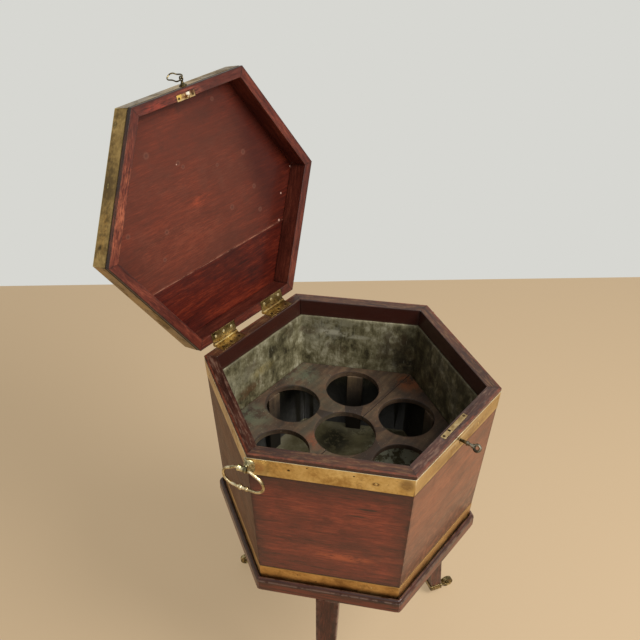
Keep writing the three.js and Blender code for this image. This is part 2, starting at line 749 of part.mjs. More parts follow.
function pullLoop() {
  const right = loopShares.map(([across, along]) => [across * loopWidth / 2, along * loopLength]);
  const left = right.slice(1, -1).reverse().map(([x, z]) => [-x, z]);
  const ring = flatRing([...right, ...left].map(([x, z]) => new THREE.Vector3(x, 0, z)), loopWireRadius, 48, 8);
  ring.rotateZ(-radians(loopTwistDeg)).rotateX(radians(loopLiftDeg));
  return ring.translate(0, pullFaceY - pullReach, pullZ);
}

add('pull_post', pullPost(), darkBrass, lid);
add('pull_loop', pullLoop(), darkBrass, lid);

// Stand: six mitred rails with a moulded lip round the foot of the body

function standRailOutline() {
  const inner = standReach - railWidth;
  const lipInner = outerFace(bodyZ) + bandProud + lipGap;
  const lipOuter = lipInner + lipTop;
  const ovolo = [];
  for (let i = 0; i <= mouldSteps; i++) {
    const angle = Math.PI / 2 * i / mouldSteps;
    const across = (standReach - mouldFillet - lipOuter) * Math.cos(angle);
    ovolo.push([lipOuter + across, seatZ + lipHeight * Math.sin(angle)]);
  }
  return [
    [inner, standZ], [standReach, standZ], [standReach, seatZ], ...ovolo,
    [lipInner, seatZ + lipHeight], [lipInner, seatZ], [inner, seatZ],
  ];
}

for (const name of faceNames) {
  let rail = mitred(standRailOutline());
  if (legNames.includes(name)) {
    const half = tenonWidth / 2 + fitGap;
    rail = cut(rail, block([legReach - half, legReach + half], [-half, half],
      [standZ - overrun, standZ + tenonLength + fitGap]));
  }
  add(`stand_rail_${name}`, rail.rotateZ(faceTurn(name)), wood);
}

// Legs and casters, drawn for the side that looks along +X

const legMiddle = z => legReach + legSplay * (standZ - z) / legLength;
const legHalf = z => legTop / 2 - (legTop - legFoot) / 2 * (standZ - z) / legLength;

function leg() {
  const top = standZ - fitGap;
  const shaft = post([legZ, top].map(z => ({ z, x: legMiddle(z), half: legHalf(z) })), legRound);
  const half = tenonWidth / 2;
  const tenon = block([legReach - half, legReach + half], [-half, half], [top - overrun, standZ + tenonLength]);
  return join(shaft, tenon);
}

// The socket on the foot, with the rivet that the fork turns on
function casterCup() {
  const grown = (z, by) => ({ z, x: legMiddle(z), half: legHalf(z) + by });
  const shell = post([cupZ, cupZ + cupHeight].map(z => grown(z, fitGap + cupWall)), cupRound);
  const floor = cupZ + cupFloor;
  const hollow = post([floor, cupZ + cupHeight + overrun].map(z => grown(z, fitGap)), legRound);
  const headTop = hornTop - hornThickness - fitGap;
  const rivet = turned([
    [0, headTop - pivotHeadHeight], [pivotHeadRadius / 2, headTop - pivotHeadHeight],
    [pivotHeadRadius, headTop - pivotHeadHeight / 2], [pivotHeadRadius, headTop], [pivotRadius, headTop],
    [pivotRadius, floor - cupFloor / 2], [0, floor - cupFloor / 2],
  ], 16).translate(legMiddle(cupZ), 0, 0);
  return join(cut(shell, hollow), rivet);
}

// The fork: drawn round its pivot, with the wheel trailing along +X
function casterFork() {
  const eye = bar('z', hornRadius, hornThickness, 20).translate(0, 0, wheelFlat);
  const armReach = wheelWidth / 2 + armGap;
  const flat = casterTrail - wheelRadius - fitGap;
  const tip = armHeight / 2;
  const outline = new THREE.Shape();
  outline.moveTo(0, -hornThickness / 2);
  outline.lineTo(flat, -hornThickness / 2);
  outline.lineTo(casterTrail - tip, -tip);
  outline.absarc(casterTrail, 0, tip, -Math.PI / 2, Math.PI / 2, false);
  outline.lineTo(casterTrail - tip, tip);
  outline.lineTo(flat, hornThickness / 2);
  outline.lineTo(0, hornThickness / 2);
  const arm = new THREE.ExtrudeGeometry(outline, { depth: armThickness, bevelEnabled: false, curveSegments: 6 });
  arm.rotateX(Math.PI / 2).translate(0, 0, wheelFlat);
  const axle = bar('y', axleRadius, 2 * (armReach + armThickness), 16).translate(casterTrail, 0, wheelFlat);
  const bore = bar('z', pivotRadius + fitGap, hornThickness + overrun, 16).translate(0, 0, wheelFlat);
  return cut(join(eye, arm.clone().translate(0, armReach + armThickness, 0),
    arm.clone().translate(0, -armReach, 0), axle), bore);
}

function casterWheel() {
  const half = wheelWidth / 2;
  const bore = axleRadius + axleGap;
  const web = half - wheelDish;
  const tread = half - wheelDish / 2;
  const rimInner = wheelRadius - 2 * wheelDish;
  const side = [
    [wheelRadius, tread], [wheelRadius - wheelDish / 2, half], [rimInner, half],
    [rimInner - wheelDish / 2, web], [hubRadius + wheelDish / 2, web], [hubRadius, half + fitGap],
    [bore, half + fitGap],
  ];
  const profile = [...side.map(([r, y]) => [r, -y]).reverse(), ...side];
  const points = [...profile, profile[0]].map(([r, y]) => new THREE.Vector2(r, y));
  return new THREE.LatheGeometry(points, wheelSides, Math.PI / wheelSides).translate(casterTrail, 0, wheelFlat);
}

for (const name of legNames) {
  const turn = faceTurn(name);
  add(`leg_${name}`, leg().rotateZ(turn), wood);
  add(`caster_cup_${name}`, casterCup().rotateZ(turn), brass);
  const pivot = legMiddle(cupZ);
  const place = geometry => geometry.rotateZ(radians(headingDeg[name]))
    .translate(pivot * Math.cos(turn), pivot * Math.sin(turn), 0);
  add(`caster_fork_${name}`, place(casterFork()), brass);
  add(`caster_wheel_${name}`, place(casterWheel()), brass);
}

// The lid stands open on its hinges
for (const piece of lid.children) piece.position.set(0, -hingeY, -hingeZ);
lid.position.set(0, hingeY, hingeZ);
lid.rotation.x = -radians(lidOpenDeg);
cellarette.add(lid);

// The origin is on the floor, under the middle of the whole piece
cellarette.updateMatrixWorld(true);
const middle = new THREE.Box3().setFromObject(cellarette, true).getCenter(new THREE.Vector3());
middle.z = 0;
for (const piece of cellarette.children) piece.position.sub(middle);

export default cellarette;
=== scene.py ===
import json
import math
import random

import bmesh
import bpy
import numpy
from mathutils import Matrix, Vector, noise


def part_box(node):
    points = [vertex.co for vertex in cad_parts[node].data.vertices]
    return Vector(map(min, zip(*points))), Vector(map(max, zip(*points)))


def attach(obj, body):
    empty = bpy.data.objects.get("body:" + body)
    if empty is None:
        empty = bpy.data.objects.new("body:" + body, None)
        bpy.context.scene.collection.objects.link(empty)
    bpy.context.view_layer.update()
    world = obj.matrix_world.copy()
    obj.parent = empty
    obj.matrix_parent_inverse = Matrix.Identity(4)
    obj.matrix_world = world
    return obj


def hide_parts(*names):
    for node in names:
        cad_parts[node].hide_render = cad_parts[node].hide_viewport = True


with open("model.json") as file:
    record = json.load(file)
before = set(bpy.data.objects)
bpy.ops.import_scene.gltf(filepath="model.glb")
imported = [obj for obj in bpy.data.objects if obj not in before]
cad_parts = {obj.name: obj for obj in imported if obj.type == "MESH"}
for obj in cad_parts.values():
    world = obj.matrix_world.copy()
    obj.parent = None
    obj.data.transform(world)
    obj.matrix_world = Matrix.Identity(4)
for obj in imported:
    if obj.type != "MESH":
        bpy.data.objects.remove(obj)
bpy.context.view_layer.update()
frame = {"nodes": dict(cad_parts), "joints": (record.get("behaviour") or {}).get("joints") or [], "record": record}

mm = 0.001
axis = sum(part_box("carcass_bottom"), Vector()) / 2
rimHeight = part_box("panel_front")[1].z
rimReach = axis.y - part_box("panel_front")[0].y
rimPoint = Vector((axis.x, axis.y, rimHeight))
lean = 15 / 298.4  # each wall leans in by 15 mm over its height of 298.4 mm
leadThick = 3 * mm
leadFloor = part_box("lead_liner")[0].z - rimHeight + leadThick  # its upper side, from the rim
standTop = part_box("stand_rail_front")[1].z - rimHeight
bodies = {node: body for body, nodes in frame["record"]["behaviour"]["bodies"].items()
          for node in nodes}
joints = {joint["name"]: joint for joint in frame["joints"]}
cornerSlope = math.tan(math.radians(30))  # half a face's width over its reach
faceTurns = {"back_right": 30, "back": 90, "back_left": 150, "front_left": 210, "front": 270,
             "front_right": 330}

# The lid stands open: openLid takes a point of the shut lid to its place in the open one
hingePoint = Vector(joints["lid_hinge"]["pos_m"])
openAngle = math.radians(joints["lid_hinge"]["range_deg"][1])
openLid = (Matrix.Translation(hingePoint) @ Matrix.Rotation(-openAngle, 4, "X")
           @ Matrix.Translation(-hingePoint))
shutLid = openLid.inverted()
turnLid = openLid.to_3x3()
upward = Vector((0, 0, 1))


def tint(red, green, blue):
    # A colour as it looks, 0 to 255, made linear
    def linear(value):
        value /= 255
        return value / 12.92 if value <= 0.04045 else ((value + 0.055) / 1.055) ** 2.4
    return (linear(red), linear(green), linear(blue), 1)


def faceAxes(azimuth):
    # Along a face of the hexagon and out of it
    turn = math.radians(azimuth)
    return Vector((-math.sin(turn), math.cos(turn), 0)), Vector((math.cos(turn), math.sin(turn), 0))


def onFace(azimuth, along, height, proud=0.4, lid=False):
    # A point on a face of the body or, shut, of the lid, from the rim's middle, in mm
    tangent, outward = faceAxes(azimuth)
    reach = rimReach / mm + (0 if lid else lean * height) + proud
    return (tangent * along + outward * reach + Vector((0, 0, height))) * mm


def onWall(azimuth, half, tall, deep):
    # Half sizes of a patch on a face: half and tall in mm, deep in metres
    tangent = faceAxes(azimuth)[0]
    return [abs(tangent.x) * half * mm + deep, abs(tangent.y) * half * mm + deep, tall * mm]


# Node maths: sums and products of sockets add Math nodes

class Shade:
    def __init__(self, tree, socket=None):
        self.tree = tree
        self.socket = socket

    def node(self, kind, sockets=None, output=0, stops=None, **settings):
        made = self.tree.nodes.new(kind if "Node" in kind else "ShaderNode" + kind)
        for name, value in settings.items():
            setattr(made, name, value)
        if stops:
            ramp = made.color_ramp.elements
            while len(ramp) < len(stops):
                ramp.new(1)
            for element, (position, colour) in zip(ramp, stops):
                element.position = position
                element.color = colour
        for name, value in (sockets or {}).items():
            if isinstance(value, Shade):
                self.tree.links.new(value.socket, made.inputs[name])
            else:
                made.inputs[name].default_value = value
        return Shade(self.tree, made.outputs[output] if made.outputs else None)

    def maths(self, operation, *others):
        return self.node("Math", dict(enumerate((self,) + others)), operation=operation)

    def __add__(self, other):
        return self.maths("ADD", other)

    __radd__ = __add__

    def __mul__(self, other):
        return self.maths("MULTIPLY", other)

    __rmul__ = __mul__

    def __sub__(self, other):
        return self.maths("SUBTRACT", other)

    def __rsub__(self, other):
        return (self * -1) + other

    def most(self, other):
        return self.maths("MAXIMUM", other)

    def ramp(self, *stops):
        return self.node("ValToRGB", {0: self}, stops=stops)

    def between(self, low, high):
        # 0 at low, 1 at high, smooth between them; low may be the larger
        return self.node("MapRange", {0: self, 1: low, 2: high, 3: 0.0, 4: 1.0},
                         interpolation_type="SMOOTHSTEP")

    def blend(self, first, second):
        # self is the factor; sockets 6 and 7 and output 2 are the node's colours
        return self.node("Mix", {0: self, 6: first, 7: second}, output=2, data_type="RGBA")

    def scaled(self, x, y, z):
        return self.node("Mapping", {"Vector": self, "Scale": (x, y, z)})

    def cloud(self, scale, detail=3.0, rough=0.55, bend=0.0):
        # Soft noise at this vector, about 0.5 in the middle
        return self.node("TexNoise", {"Vector": self, "Scale": scale, "Detail": detail,
                                      "Roughness": rough, "Distortion": bend})

    def part(self, letter):
        # One of X, Y and Z
        return self.node("SeparateXYZ", {0: self}, output=letter)


def startMaterial(name, *wanted):
    # An empty material, and the mesh attributes that it wants to read
    material = bpy.data.materials.new(name)
    material.use_nodes = True
    material.node_tree.nodes.clear()
    shade = Shade(material.node_tree)
    outputs = {"worn": "Fac", "reach": "Fac"}
    read = [shade.node("Attribute", output=outputs.get(label, "Vector"), attribute_name=label)
            for label in wanted]
    return material, *read


def closeMaterial(material, colour, roughness, metallic=0.0, height=None, depth=0.0, strength=1.0,
                  coat=0.0, coatRoughness=0.1, gloss=0.5):
    shade = Shade(material.node_tree)
    values = {"Base Color": colour, "Roughness": roughness, "Metallic": metallic,
              "Coat Weight": coat, "Coat Roughness": coatRoughness, "Specular IOR Level": gloss}
    if height is not None:
        values["Normal"] = shade.node("Bump", {"Height": height, "Distance": depth, "Strength": strength})
    shade.node("OutputMaterial", {0: shade.node("BsdfPrincipled", values)})
    return material


def spot(vector, middle, halves):
    # 1 inside an oval about middle, 0 outside it, with a soft edge; halves are its half sizes
    moved = vector.node("VectorMath", {0: vector, 1: tuple(middle)}, operation="SUBTRACT")
    shrunk = moved.node("VectorMath", {0: moved, 1: tuple(1 / h for h in halves)}, operation="MULTIPLY")
    reach = shrunk.node("VectorMath", {0: shrunk}, output="Value", operation="LENGTH")
    return reach.between(1.5, 0.5)


def patched(colour, place, patches, texture):
    # patches are (middle, half sizes, colour, amount, how broken up they are)
    for middle, halves, patchColour, amount, broken in patches:
        mask = spot(place, middle, halves)
        if broken:
            mask = mask * texture.between(0.42, 0.42 + broken)
        colour = (mask * amount).blend(colour, tint(*patchColour))
    return colour


# Wood. Grain runs along the first axis of its vector, so noise is stretched along that axis

wall = {  # in metres, up from the rim or in from the outside
    "halfWide": 0.12, "bandSeams": (-0.0436, -0.2658), "rimTop": -0.0012, "lining": 0.019, "liningEnd": -0.06,
}


def mahogany(name, look, patches=()):
    material, grain, place, worn, reach = startMaterial(name, "grain", "place", "worn", "reach")
    sway = grain.scaled(4, 8, 8).cloud(1, 2) - 0.5
    shift = grain.node("CombineXYZ", {1: sway * look["sway"], 2: sway * look["sway"]})
    swayed = grain.node("VectorMath", {0: grain, 1: shift}, operation="ADD")
    broad = swayed.scaled(6, 26, 26).cloud(1, 3, 0.55)
    streak = swayed.scaled(17, 210, 160).cloud(1, 3, 0.6)
    fleck = swayed.scaled(60, 700, 520).cloud(1, 3, 0.7)
    tone = broad * 0.34 + streak * 0.3 + fleck * 0.36
    colour = tone.ramp((0.41, look["deep"]), (0.47, look["middle"]), (0.53, look["middle2"]),
                       (0.59, look["light"]))
    pores = swayed.scaled(120, 2300, 1700).cloud(1, 1).between(0.58, 0.68)
    colour = (pores * look["pores"]).blend(colour, look["deep"])
    mottle = place.cloud(38, 5, 0.66)
    cloudy = place.cloud(12, 4, 0.6).between(0.46, 0.68)
    colour = (cloudy * look["grime"]).blend(colour, look["grimeColour"])
    colour = (mottle.between(0.52, 0.68) * 0.4).blend(colour, look["deep"])
    if "shadow" in look:  # painted shade below the top band, darker towards the corners, and dark dirt lines along the band seams and above the lower band
        along, up = grain.part("X"), grain.part("Y")
        side = wall["halfWide"] - along.maths("ABSOLUTE") + up * (lean * cornerSlope)
        dirt = (side.between(0.03, 0.0) * 0.7).most(up.between(-0.082, -0.042))
        dirt = dirt.most(up.between(-0.252, -0.27) * 0.6)
        dirt = dirt * (mottle.between(0.3, 0.62) * 0.5 + 0.5)
        for seam in wall["bandSeams"]:
            dirt = dirt.most((up - seam).maths("ABSOLUTE").between(0.0018, 0.0006))
        colour = (dirt * look["shadow"]).blend(colour, look["shadowColour"])
        rim = up.between(wall["rimTop"], wall["rimTop"] / 3)
        # pale dust on the rim tops, partly a painted sheen of reflected light
        dusty = swayed.scaled(45, 300, 300).cloud(1, 5, 0.75).between(0.47, 0.62)
        dusty = dusty * streak.between(0.38, 0.54)
        rimColour = tone.ramp((0.42, look["rimDeep"]), (0.58, look["rimLight"]))
        rimColour = (dusty * 0.7).blend(rimColour, look["rimDust"])
        line = reach.between(rimReach - 0.004, rimReach - 0.0025) * mottle.between(0.34, 0.54)
        rimColour = (line * 0.6).blend(rimColour, look["rimLine"])
        colour = rim.blend(colour, rimColour)
        # painted shade on the inner faces above the lining, inside the box
        lining = rimReach - wall["lining"]
        inside = reach.between(lining + 0.0002, lining - 0.0002) * up.between(wall["liningEnd"], -0.05)
        colour = (inside * look["insideShade"]).blend(colour, look["insideColour"])
    if "lowerColour" in look:  # painted shade on the top moulding, and below it a redder painted reflection of the floor
        down = standTop - place.part("Z")
        upper = down.between(0.009, 0.0075)
        colour = (upper * 0.55).blend(colour, look["upperColour"])
        lower = down.between(0.0085, 0.0115) * down.between(0.0275, 0.0255) * streak.between(0.36, 0.56)
        colour = (lower * 0.8).blend(colour, look["lowerColour"])
    if "outerColour" in look:  # the bare strip beside the band is darker
        outer = reach.between(rimReach - 0.0012, rimReach - 0.0004)
        colour = (outer * 0.85).blend(colour, look["outerColour"])
    colour = patched(colour, place, patches, fleck * 0.5 + mottle * 0.5)
    # worn edges take the look's edge colour: wear on most pieces, a pale painted glint on the stand
    edge = worn * place.cloud(70, 4, 0.7).between(0.38, 0.56)
    colour = (edge * look["edge"]).blend(colour, look["edgeColour"])
    scratch = swayed.scaled(10, 460, 460).cloud(1, 2, 0.5, 1.5).between(0.7, 0.74)
    colour = (scratch * 0.2).blend(colour, look["light"])
    rough = tone * 0.2 + mottle * 0.24 + edge * 0.12 + (look["rough"] - 0.2)
    height = streak * 0.4 + pores * -0.4 + place.cloud(7, 2) * 2.2 + fleck * 0.2
    return closeMaterial(material, colour, rough, height=height, depth=0.3 * mm, strength=0.35,
                         coat=look["coat"], coatRoughness=look["polish"], gloss=look["gloss"])


def looks(base, **changes):
    # A look is its base with some changes; three numbers are a colour
    for key, value in changes.items():
        if isinstance(value, tuple) and len(value) == 3:
            changes[key] = tint(*value)
    return {**base, **changes}


plainLook = looks(
    {}, grime=0.5, edge=0.6, edgeColour=(40, 21, 15), pores=0.5, sway=0.01, rough=0.4, coat=0.35, polish=0.2,
    gloss=0.35)
bodyLook = looks(
    plainLook, deep=(70, 23, 15), middle=(106, 37, 25), middle2=(124, 46, 31), light=(152, 66, 42),
    grime=0.4, grimeColour=(62, 25, 19), shadow=0.8, shadowColour=(44, 20, 15), insideShade=0.95,
    insideColour=(50, 20, 12), rimDeep=(46, 22, 11), rimLight=(88, 47, 27), rimDust=(122, 90, 60),
    rimLine=(134, 66, 40))
# A lighter copy of the body's look for the front panel, whose lighter colours are a painted reflection of the
# bright room
sideLook = looks(
    bodyLook, deep=(84, 38, 22), middle=(115, 58, 35), middle2=(128, 68, 42), light=(144, 80, 50), grime=0.3,
    shadow=0.35, shadowColour=(90, 44, 28), rimDeep=(42, 21, 15), rimLight=(76, 42, 31),
    rimDust=(124, 96, 80))
backLook = looks(
    sideLook, deep=(72, 38, 18), middle=(98, 56, 29), middle2=(108, 63, 34), light=(124, 74, 42), coat=0.05,
    gloss=0.12)
lidLook = looks(
    plainLook, deep=(46, 11, 6), middle=(66, 18, 9), middle2=(80, 24, 12), light=(104, 38, 20),
    grimeColour=(44, 13, 8), coat=0.1, polish=0.16, edge=0.3, edgeColour=(112, 58, 42), gloss=0.15)
railLook = looks(
    lidLook, deep=(58, 21, 14), middle=(84, 35, 24), middle2=(98, 44, 31), light=(124, 62, 44), edge=0.6,
    edgeColour=(44, 24, 18), coat=0.15, gloss=0.2, outerColour=(44, 32, 22))
# The stand's pale edge colour is a painted glint on its rounded edges
standLook = looks(
    plainLook, deep=(38, 14, 10), middle=(62, 25, 18), middle2=(78, 34, 24), light=(108, 52, 36),
    grimeColour=(30, 15, 12), edge=0.45, edgeColour=(140, 114, 100), coat=0.4, polish=0.12, rough=0.36,
    gloss=0.2, lowerColour=(112, 46, 30), upperColour=(32, 14, 11))

panelWood = mahogany("panelMahogany", bodyLook)
fadedWood = mahogany("fadedPanelMahogany", sideLook)
shadedWood = mahogany("shadedPanelMahogany", backLook)
rubbedPatches = {  # along the front left panel and down from the rim, mm
    "bright": (24, -210, 34, 8, (200, 98, 56), 0.85, 0.12),
    "wide": (2, -206, 66, 22, (150, 68, 42), 0.5, 0.2),
    "right": (70, -150, 26, 50, (150, 66, 44), 0.35, 0.2),
    "chip": (57, -86, 4, 2.2, (36, 20, 16), 0.9, 0),
    "chip2": (42, -104, 2.4, 1.8, (40, 22, 18), 0.8, 0),
}
frontLeft = faceTurns["front_left"]
frontWood = mahogany("rubbedPanelMahogany", bodyLook, [
    (onFace(frontLeft, along, height), onWall(frontLeft, half, tall, 0.012), colour, amount, broken)
    for along, height, half, tall, colour, amount, broken in rubbedPatches.values()])
narrowBoard = frame["nodes"]["lid_board_narrow"].data.vertices
boardJoint = min((shutLid @ vertex.co - rimPoint).y for vertex in narrowBoard)
lidDepth = 36 * mm
jointLine = (Vector((0, boardJoint, lidDepth)), [0.3, 1.3 * mm, 6 * mm], (176, 122, 98), 0.75, 0.2)
drops = {"ring": (134, 90, 74), "middle": (56, 22, 16), "places": [
    (-92, -124, 5), (-35, -92, 4), (-27, -83, 3.4), (-94, 5, 4), (-168, -18, 4), (-113, 46, 3.4),
    (110, -62, 4.5), (55, 20, 4.5), (69, -168, 3.4), (117, 4, 4), (119, 49, 4), (45, -61, 3)]}
specks = {"colour": (206, 168, 150), "places": [
    (217, 2, 1.6), (179, 41, 1.6), (159, 87, 2), (117, 175, 1.6), (145, -170, 1.6), (-39, -91, 1)]}
haze = [  # painted sheen of reflected light across the wide board and painted shade along its upper and right sides: across, forward, half sizes, colour, amount, how broken up, all on the wide board's underside
    (-44, -20, 190, 190, (114, 63, 47), 0.42, 0),
    (-44, -20, 180, 180, (124, 72, 55), 0.45, 0.5),
    (-10, -172, 190, 74, (52, 28, 22), 0.6, 0.3),
    (60, -60, 70, 60, (88, 52, 40), 0.4, 0.3),
    (158, -64, 46, 130, (54, 14, 8), 0.6, 0),
    (-70, 30, 90, 34, (128, 66, 46), 0.4, 0.25),
    (-10, -18, 22, 9, (148, 66, 42), 0.6, 0.15)]


def onBoard(x, y, wide, tall, colour, amount, broken=0, deep=0.02):
    # A mark on the underside of the lid's boards, in mm but for deep, which is in metres
    return Vector((x * mm, y * mm, lidDepth)), [wide * mm, tall * mm, deep], colour, amount, broken


boardMarks = [jointLine] + [onBoard(*row) for row in haze]
for x, y, size in drops["places"]:
    boardMarks.append(onBoard(x, y, size, size, drops["ring"], 0.36, deep=size * mm))
    inner = size * 0.66
    boardMarks.append(onBoard(x, y, inner, inner, drops["middle"], 0.5, deep=inner * mm))
for x, y, size in specks["places"]:
    boardMarks.append(onBoard(x, y, size, size, specks["colour"], 0.8, deep=size * mm))
lidWood = mahogany("lidBoardMahogany", lidLook, boardMarks)
narrowWood = mahogany("lidNarrowBoardMahogany", lidLook, [jointLine])
railWood = mahogany("lidRailMahogany", railLook)
linkScar = [  # about the link plate
    (Vector((x, -196, 0)) * mm, [half * mm, 8 * mm, 4 * mm], colour, amount, 0.14)
    for x, half, colour, amount in ((-12, 28, (190, 104, 80), 0.8), (-66, 30, (140, 56, 40), 0.7))]
scarredLook = looks(railLook, middle2=(88, 40, 30), light=(104, 54, 42))
frontRailWood = mahogany("scarredRailMahogany", scarredLook, linkScar)
# Pale patches on the front-left lid rail: rubbed wear with a painted sheen
rubbedRail = [(onFace(frontLeft, along, 0, -9), [0.026, 0.06, 0.02], (172, 98, 68), amount, 0.3)
              for along, amount in ((-60, 1), (-12, 0.8), (40, 0.3))]
paleRailWood = mahogany("rubbedRailMahogany", railLook, rubbedRail)
standWood = mahogany("standMahogany", standLook)


dividerTop = -137 * mm
dividerStains = [  # across, forward, half size, all in mm, colour, amount
    (186, -13, 26, (150, 84, 42), 0.55), (71, 87, 20, (118, 76, 44), 0.3),
    (-67, 148, 30, (98, 104, 82), 0.5), (69, 156, 30, (98, 104, 82), 0.5),
    (-43, 24, 20, (126, 66, 38), 0.7)]


def dealWood(name, deep, middle, light, depthShade):
    # The bottle divider: raw wood, dark with age, with pale dust and rusty stains
    material, grain, place, worn = startMaterial(name, "grain", "place", "worn")
    tone = grain.scaled(8, 80, 60).cloud(1, 4, 0.6) * 0.5 + place.cloud(26, 5, 0.62) * 0.5
    colour = tone.ramp((0.38, deep), (0.5, middle), (0.62, light))
    dust = place.cloud(9, 4, 0.62).between(0.48, 0.62)
    colour = (dust * 0.3).blend(colour, tint(88, 86, 68))
    uneven = place.cloud(60, 5, 0.7).between(0.4, 0.56)
    for x, y, half, stain, amount in dividerStains:
        mask = spot(place, (x * mm, y * mm, dividerTop), [half * mm] * 3) * uneven
        colour = (mask * amount).blend(colour, tint(*stain))
    rubbed = worn * place.cloud(45, 4, 0.66).between(0.36, 0.54)
    colour = (rubbed * 0.3).blend(colour, tint(98, 64, 42))
    colour = (worn.between(0.9, 1.0) * 0.8).blend(colour, tint(26, 18, 12))
    specks = place.cloud(420, 2).between(0.68, 0.73)
    colour = (specks * 0.5).blend(colour, tint(156, 148, 124))
    # painted shade: darker below the divider's top, most on the props under it
    low = place.part("Z").between(dividerTop - 0.008, dividerTop - 0.078)
    colour = (low * depthShade).blend(colour, tint(14, 11, 8))
    height = tone + place.cloud(130, 4, 0.7) * 0.5
    return closeMaterial(material, colour, tone * 0.2 + 0.6, height=height, depth=0.5 * mm, strength=0.6)


leadMarks = {  # on the inner walls: face, along, height, half sizes, all in mm, colour, amount
    "rightDark": (30, -84, -90, 34, 46, (48, 41, 26), 0.6),
    "leftBright": (30, 62, -60, 44, 26, (172, 170, 148), 0.4),
    # farDark is painted shade on the wall that faces away from the lamp
    "farDark": (330, 0, -80, 130, 80, (30, 26, 16), 0.6),
    "whiteStreak": (30, 50, -62, 26, 5, (186, 182, 160), 0.7),
    "whiteStreak2": (30, 6, -68, 22, 4, (176, 172, 150), 0.6),
    "brownTop": (30, 92, -62, 12, 9, (74, 56, 36), 0.8),
    "brownLeft": (30, -70, -62, 16, 16, (70, 56, 38), 0.7),
    "darkLow": (30, -96, -118, 20, 14, (34, 30, 20), 0.8),
    "pale": (30, 24, -40, 22, 6, (140, 136, 112), 0.6),
    "leftPale": (90, 70, -80, 30, 24, (150, 146, 122), 0.4),
    "darkBack": (90, -58, -49, 12, 12, (52, 46, 30), 0.7),
    "brownBack": (90, 44, -111, 22, 12, (88, 60, 36), 0.7),
    "yellowBack": (90, 9, -88, 16, 10, (142, 126, 74), 0.5),
}
floorMarks = [  # painted pools of light and a painted prop shadow on the floor, seen through the holes: across, forward, half size, all in mm, colour, amount
    (130, -20, 45, (206, 208, 182), 0.85), (150, 70, 35, (150, 142, 104), 0.6),
    (92, 88, 30, (26, 24, 15), 0.8)]


def leadSheet():
    # Old lead: brushed upwards, oxidised olive grey, with painted shade that darkens it with depth, and painted
    # light and shadow on its floor
    material, place, worn = startMaterial("oxidisedLead", "place", "worn")
    soft = place.cloud(14, 5, 0.62)
    brushed = place.scaled(75, 75, 26).cloud(1, 5, 0.7, 0.8)
    mottled = place.cloud(62, 5, 0.7)
    tone = soft * 0.36 + brushed * 0.32 + mottled * 0.32
    colour = tone.ramp((0.41, tint(50, 45, 29)), (0.475, tint(94, 88, 62)), (0.53, tint(124, 118, 90)),
                       (0.61, tint(176, 171, 145)))
    stain = place.cloud(17, 5, 0.66).between(0.54, 0.66)
    colour = (stain * 0.6).blend(colour, tint(66, 52, 32))
    mottle = place.cloud(48, 5, 0.7).between(0.4, 0.56)
    for azimuth, along, height, half, tall, mark, amount in leadMarks.values():
        mask = spot(place, onFace(azimuth, along, height, -23), onWall(azimuth, half, tall, 0.01))
        colour = (mask * mottle * amount).blend(colour, tint(*mark))
    scratch = place.scaled(420, 420, 30).cloud(1, 3, 0.6, 1.2).between(0.64, 0.7)
    colour = (scratch * 0.5).blend(colour, tint(166, 164, 140))
    darkLines = place.scaled(330, 330, 22).cloud(1, 3, 0.6, 0.8).between(0.62, 0.7)
    colour = (darkLines * 0.55).blend(colour, tint(36, 32, 20))
    # painted shade: the walls darken with depth below the divider, but not the floor
    up = place.part("Z")
    low = up.between(dividerTop + 0.007, dividerTop - 0.053)
    low = low * up.between(leadFloor - 0.001, leadFloor + 0.004)
    colour = (low * 0.96).blend(colour, tint(13, 11, 7))
    floor = up.between(leadFloor + 0.002, leadFloor + 0.001)
    colour = (floor * 0.7).blend(colour, tint(104, 97, 68))
    for x, y, half, mark, amount in floorMarks:
        mask = spot(place, (x * mm, y * mm, leadFloor), [half * mm] * 3) * floor * mottle.between(0.0, 0.6)
        colour = (mask * amount).blend(colour, tint(*mark))
    colour = (worn * 0.3).blend(colour, tint(140, 136, 112))
    height = brushed + soft * 1.2 + place.cloud(190, 3, 0.6) * 0.4
    return closeMaterial(material, colour, tone * 0.3 + 0.36, metallic=0.2, height=height, depth=0.9 * mm,
                         strength=0.8)


# Metals

def metal(name, look, patches=()):
    material, place, worn = startMaterial(name, "place", "worn")
    mottle = place.cloud(look["mottleScale"], 4, 0.6)
    small = place.cloud(170, 4, 0.62)
    tone = mottle * 0.68 + small * 0.32
    colour = tone.ramp((0.38, look["dark"]), (0.49, look["middle"]), (0.62, look["bright"]))
    tarnish = place.cloud(look["mottleScale"] * 1.6, 5, 0.68).between(look["clean"], look["clean"] + 0.12)
    colour = (tarnish * look["tarnish"]).blend(colour, look["tarnishColour"])
    specks = place.cloud(300, 2, 0.5).between(0.68, 0.72)
    colour = (specks * 0.5).blend(colour, look["tarnishColour"])
    colour = patched(colour, place, patches, small * 0.5 + mottle * 0.5)
    if "edges" in look:  # painted highlight along the upper edge, painted shade along the lower one
        low, high = look["edges"]
        up, half = place.part("Z"), (low + high) / 2
        colour = (worn.between(0.3, 0.9) * up.between(half, high)).blend(colour, look["upperEdge"])
        colour = (worn.between(0.2, 0.8) * up.between(half, low)).blend(colour, look["lowerEdge"])
    else:
        edge = worn * place.cloud(80, 3).between(0.42, 0.6)
        colour = (edge * look["edge"]).blend(colour, look["edgeColour"])
    rubbing = place.scaled(30, 30, 1400).cloud(1, 2, 0.5, 0.4)
    rough = tone * 0.22 + rubbing * 0.1 + tarnish * 0.2 + (look["rough"] - 0.16)
    height = mottle * 2.4 + small * 0.5 + rubbing * 0.2
    return closeMaterial(material, colour, rough, metallic=1.0, height=height, depth=0.22 * mm,
                         strength=look["bump"])


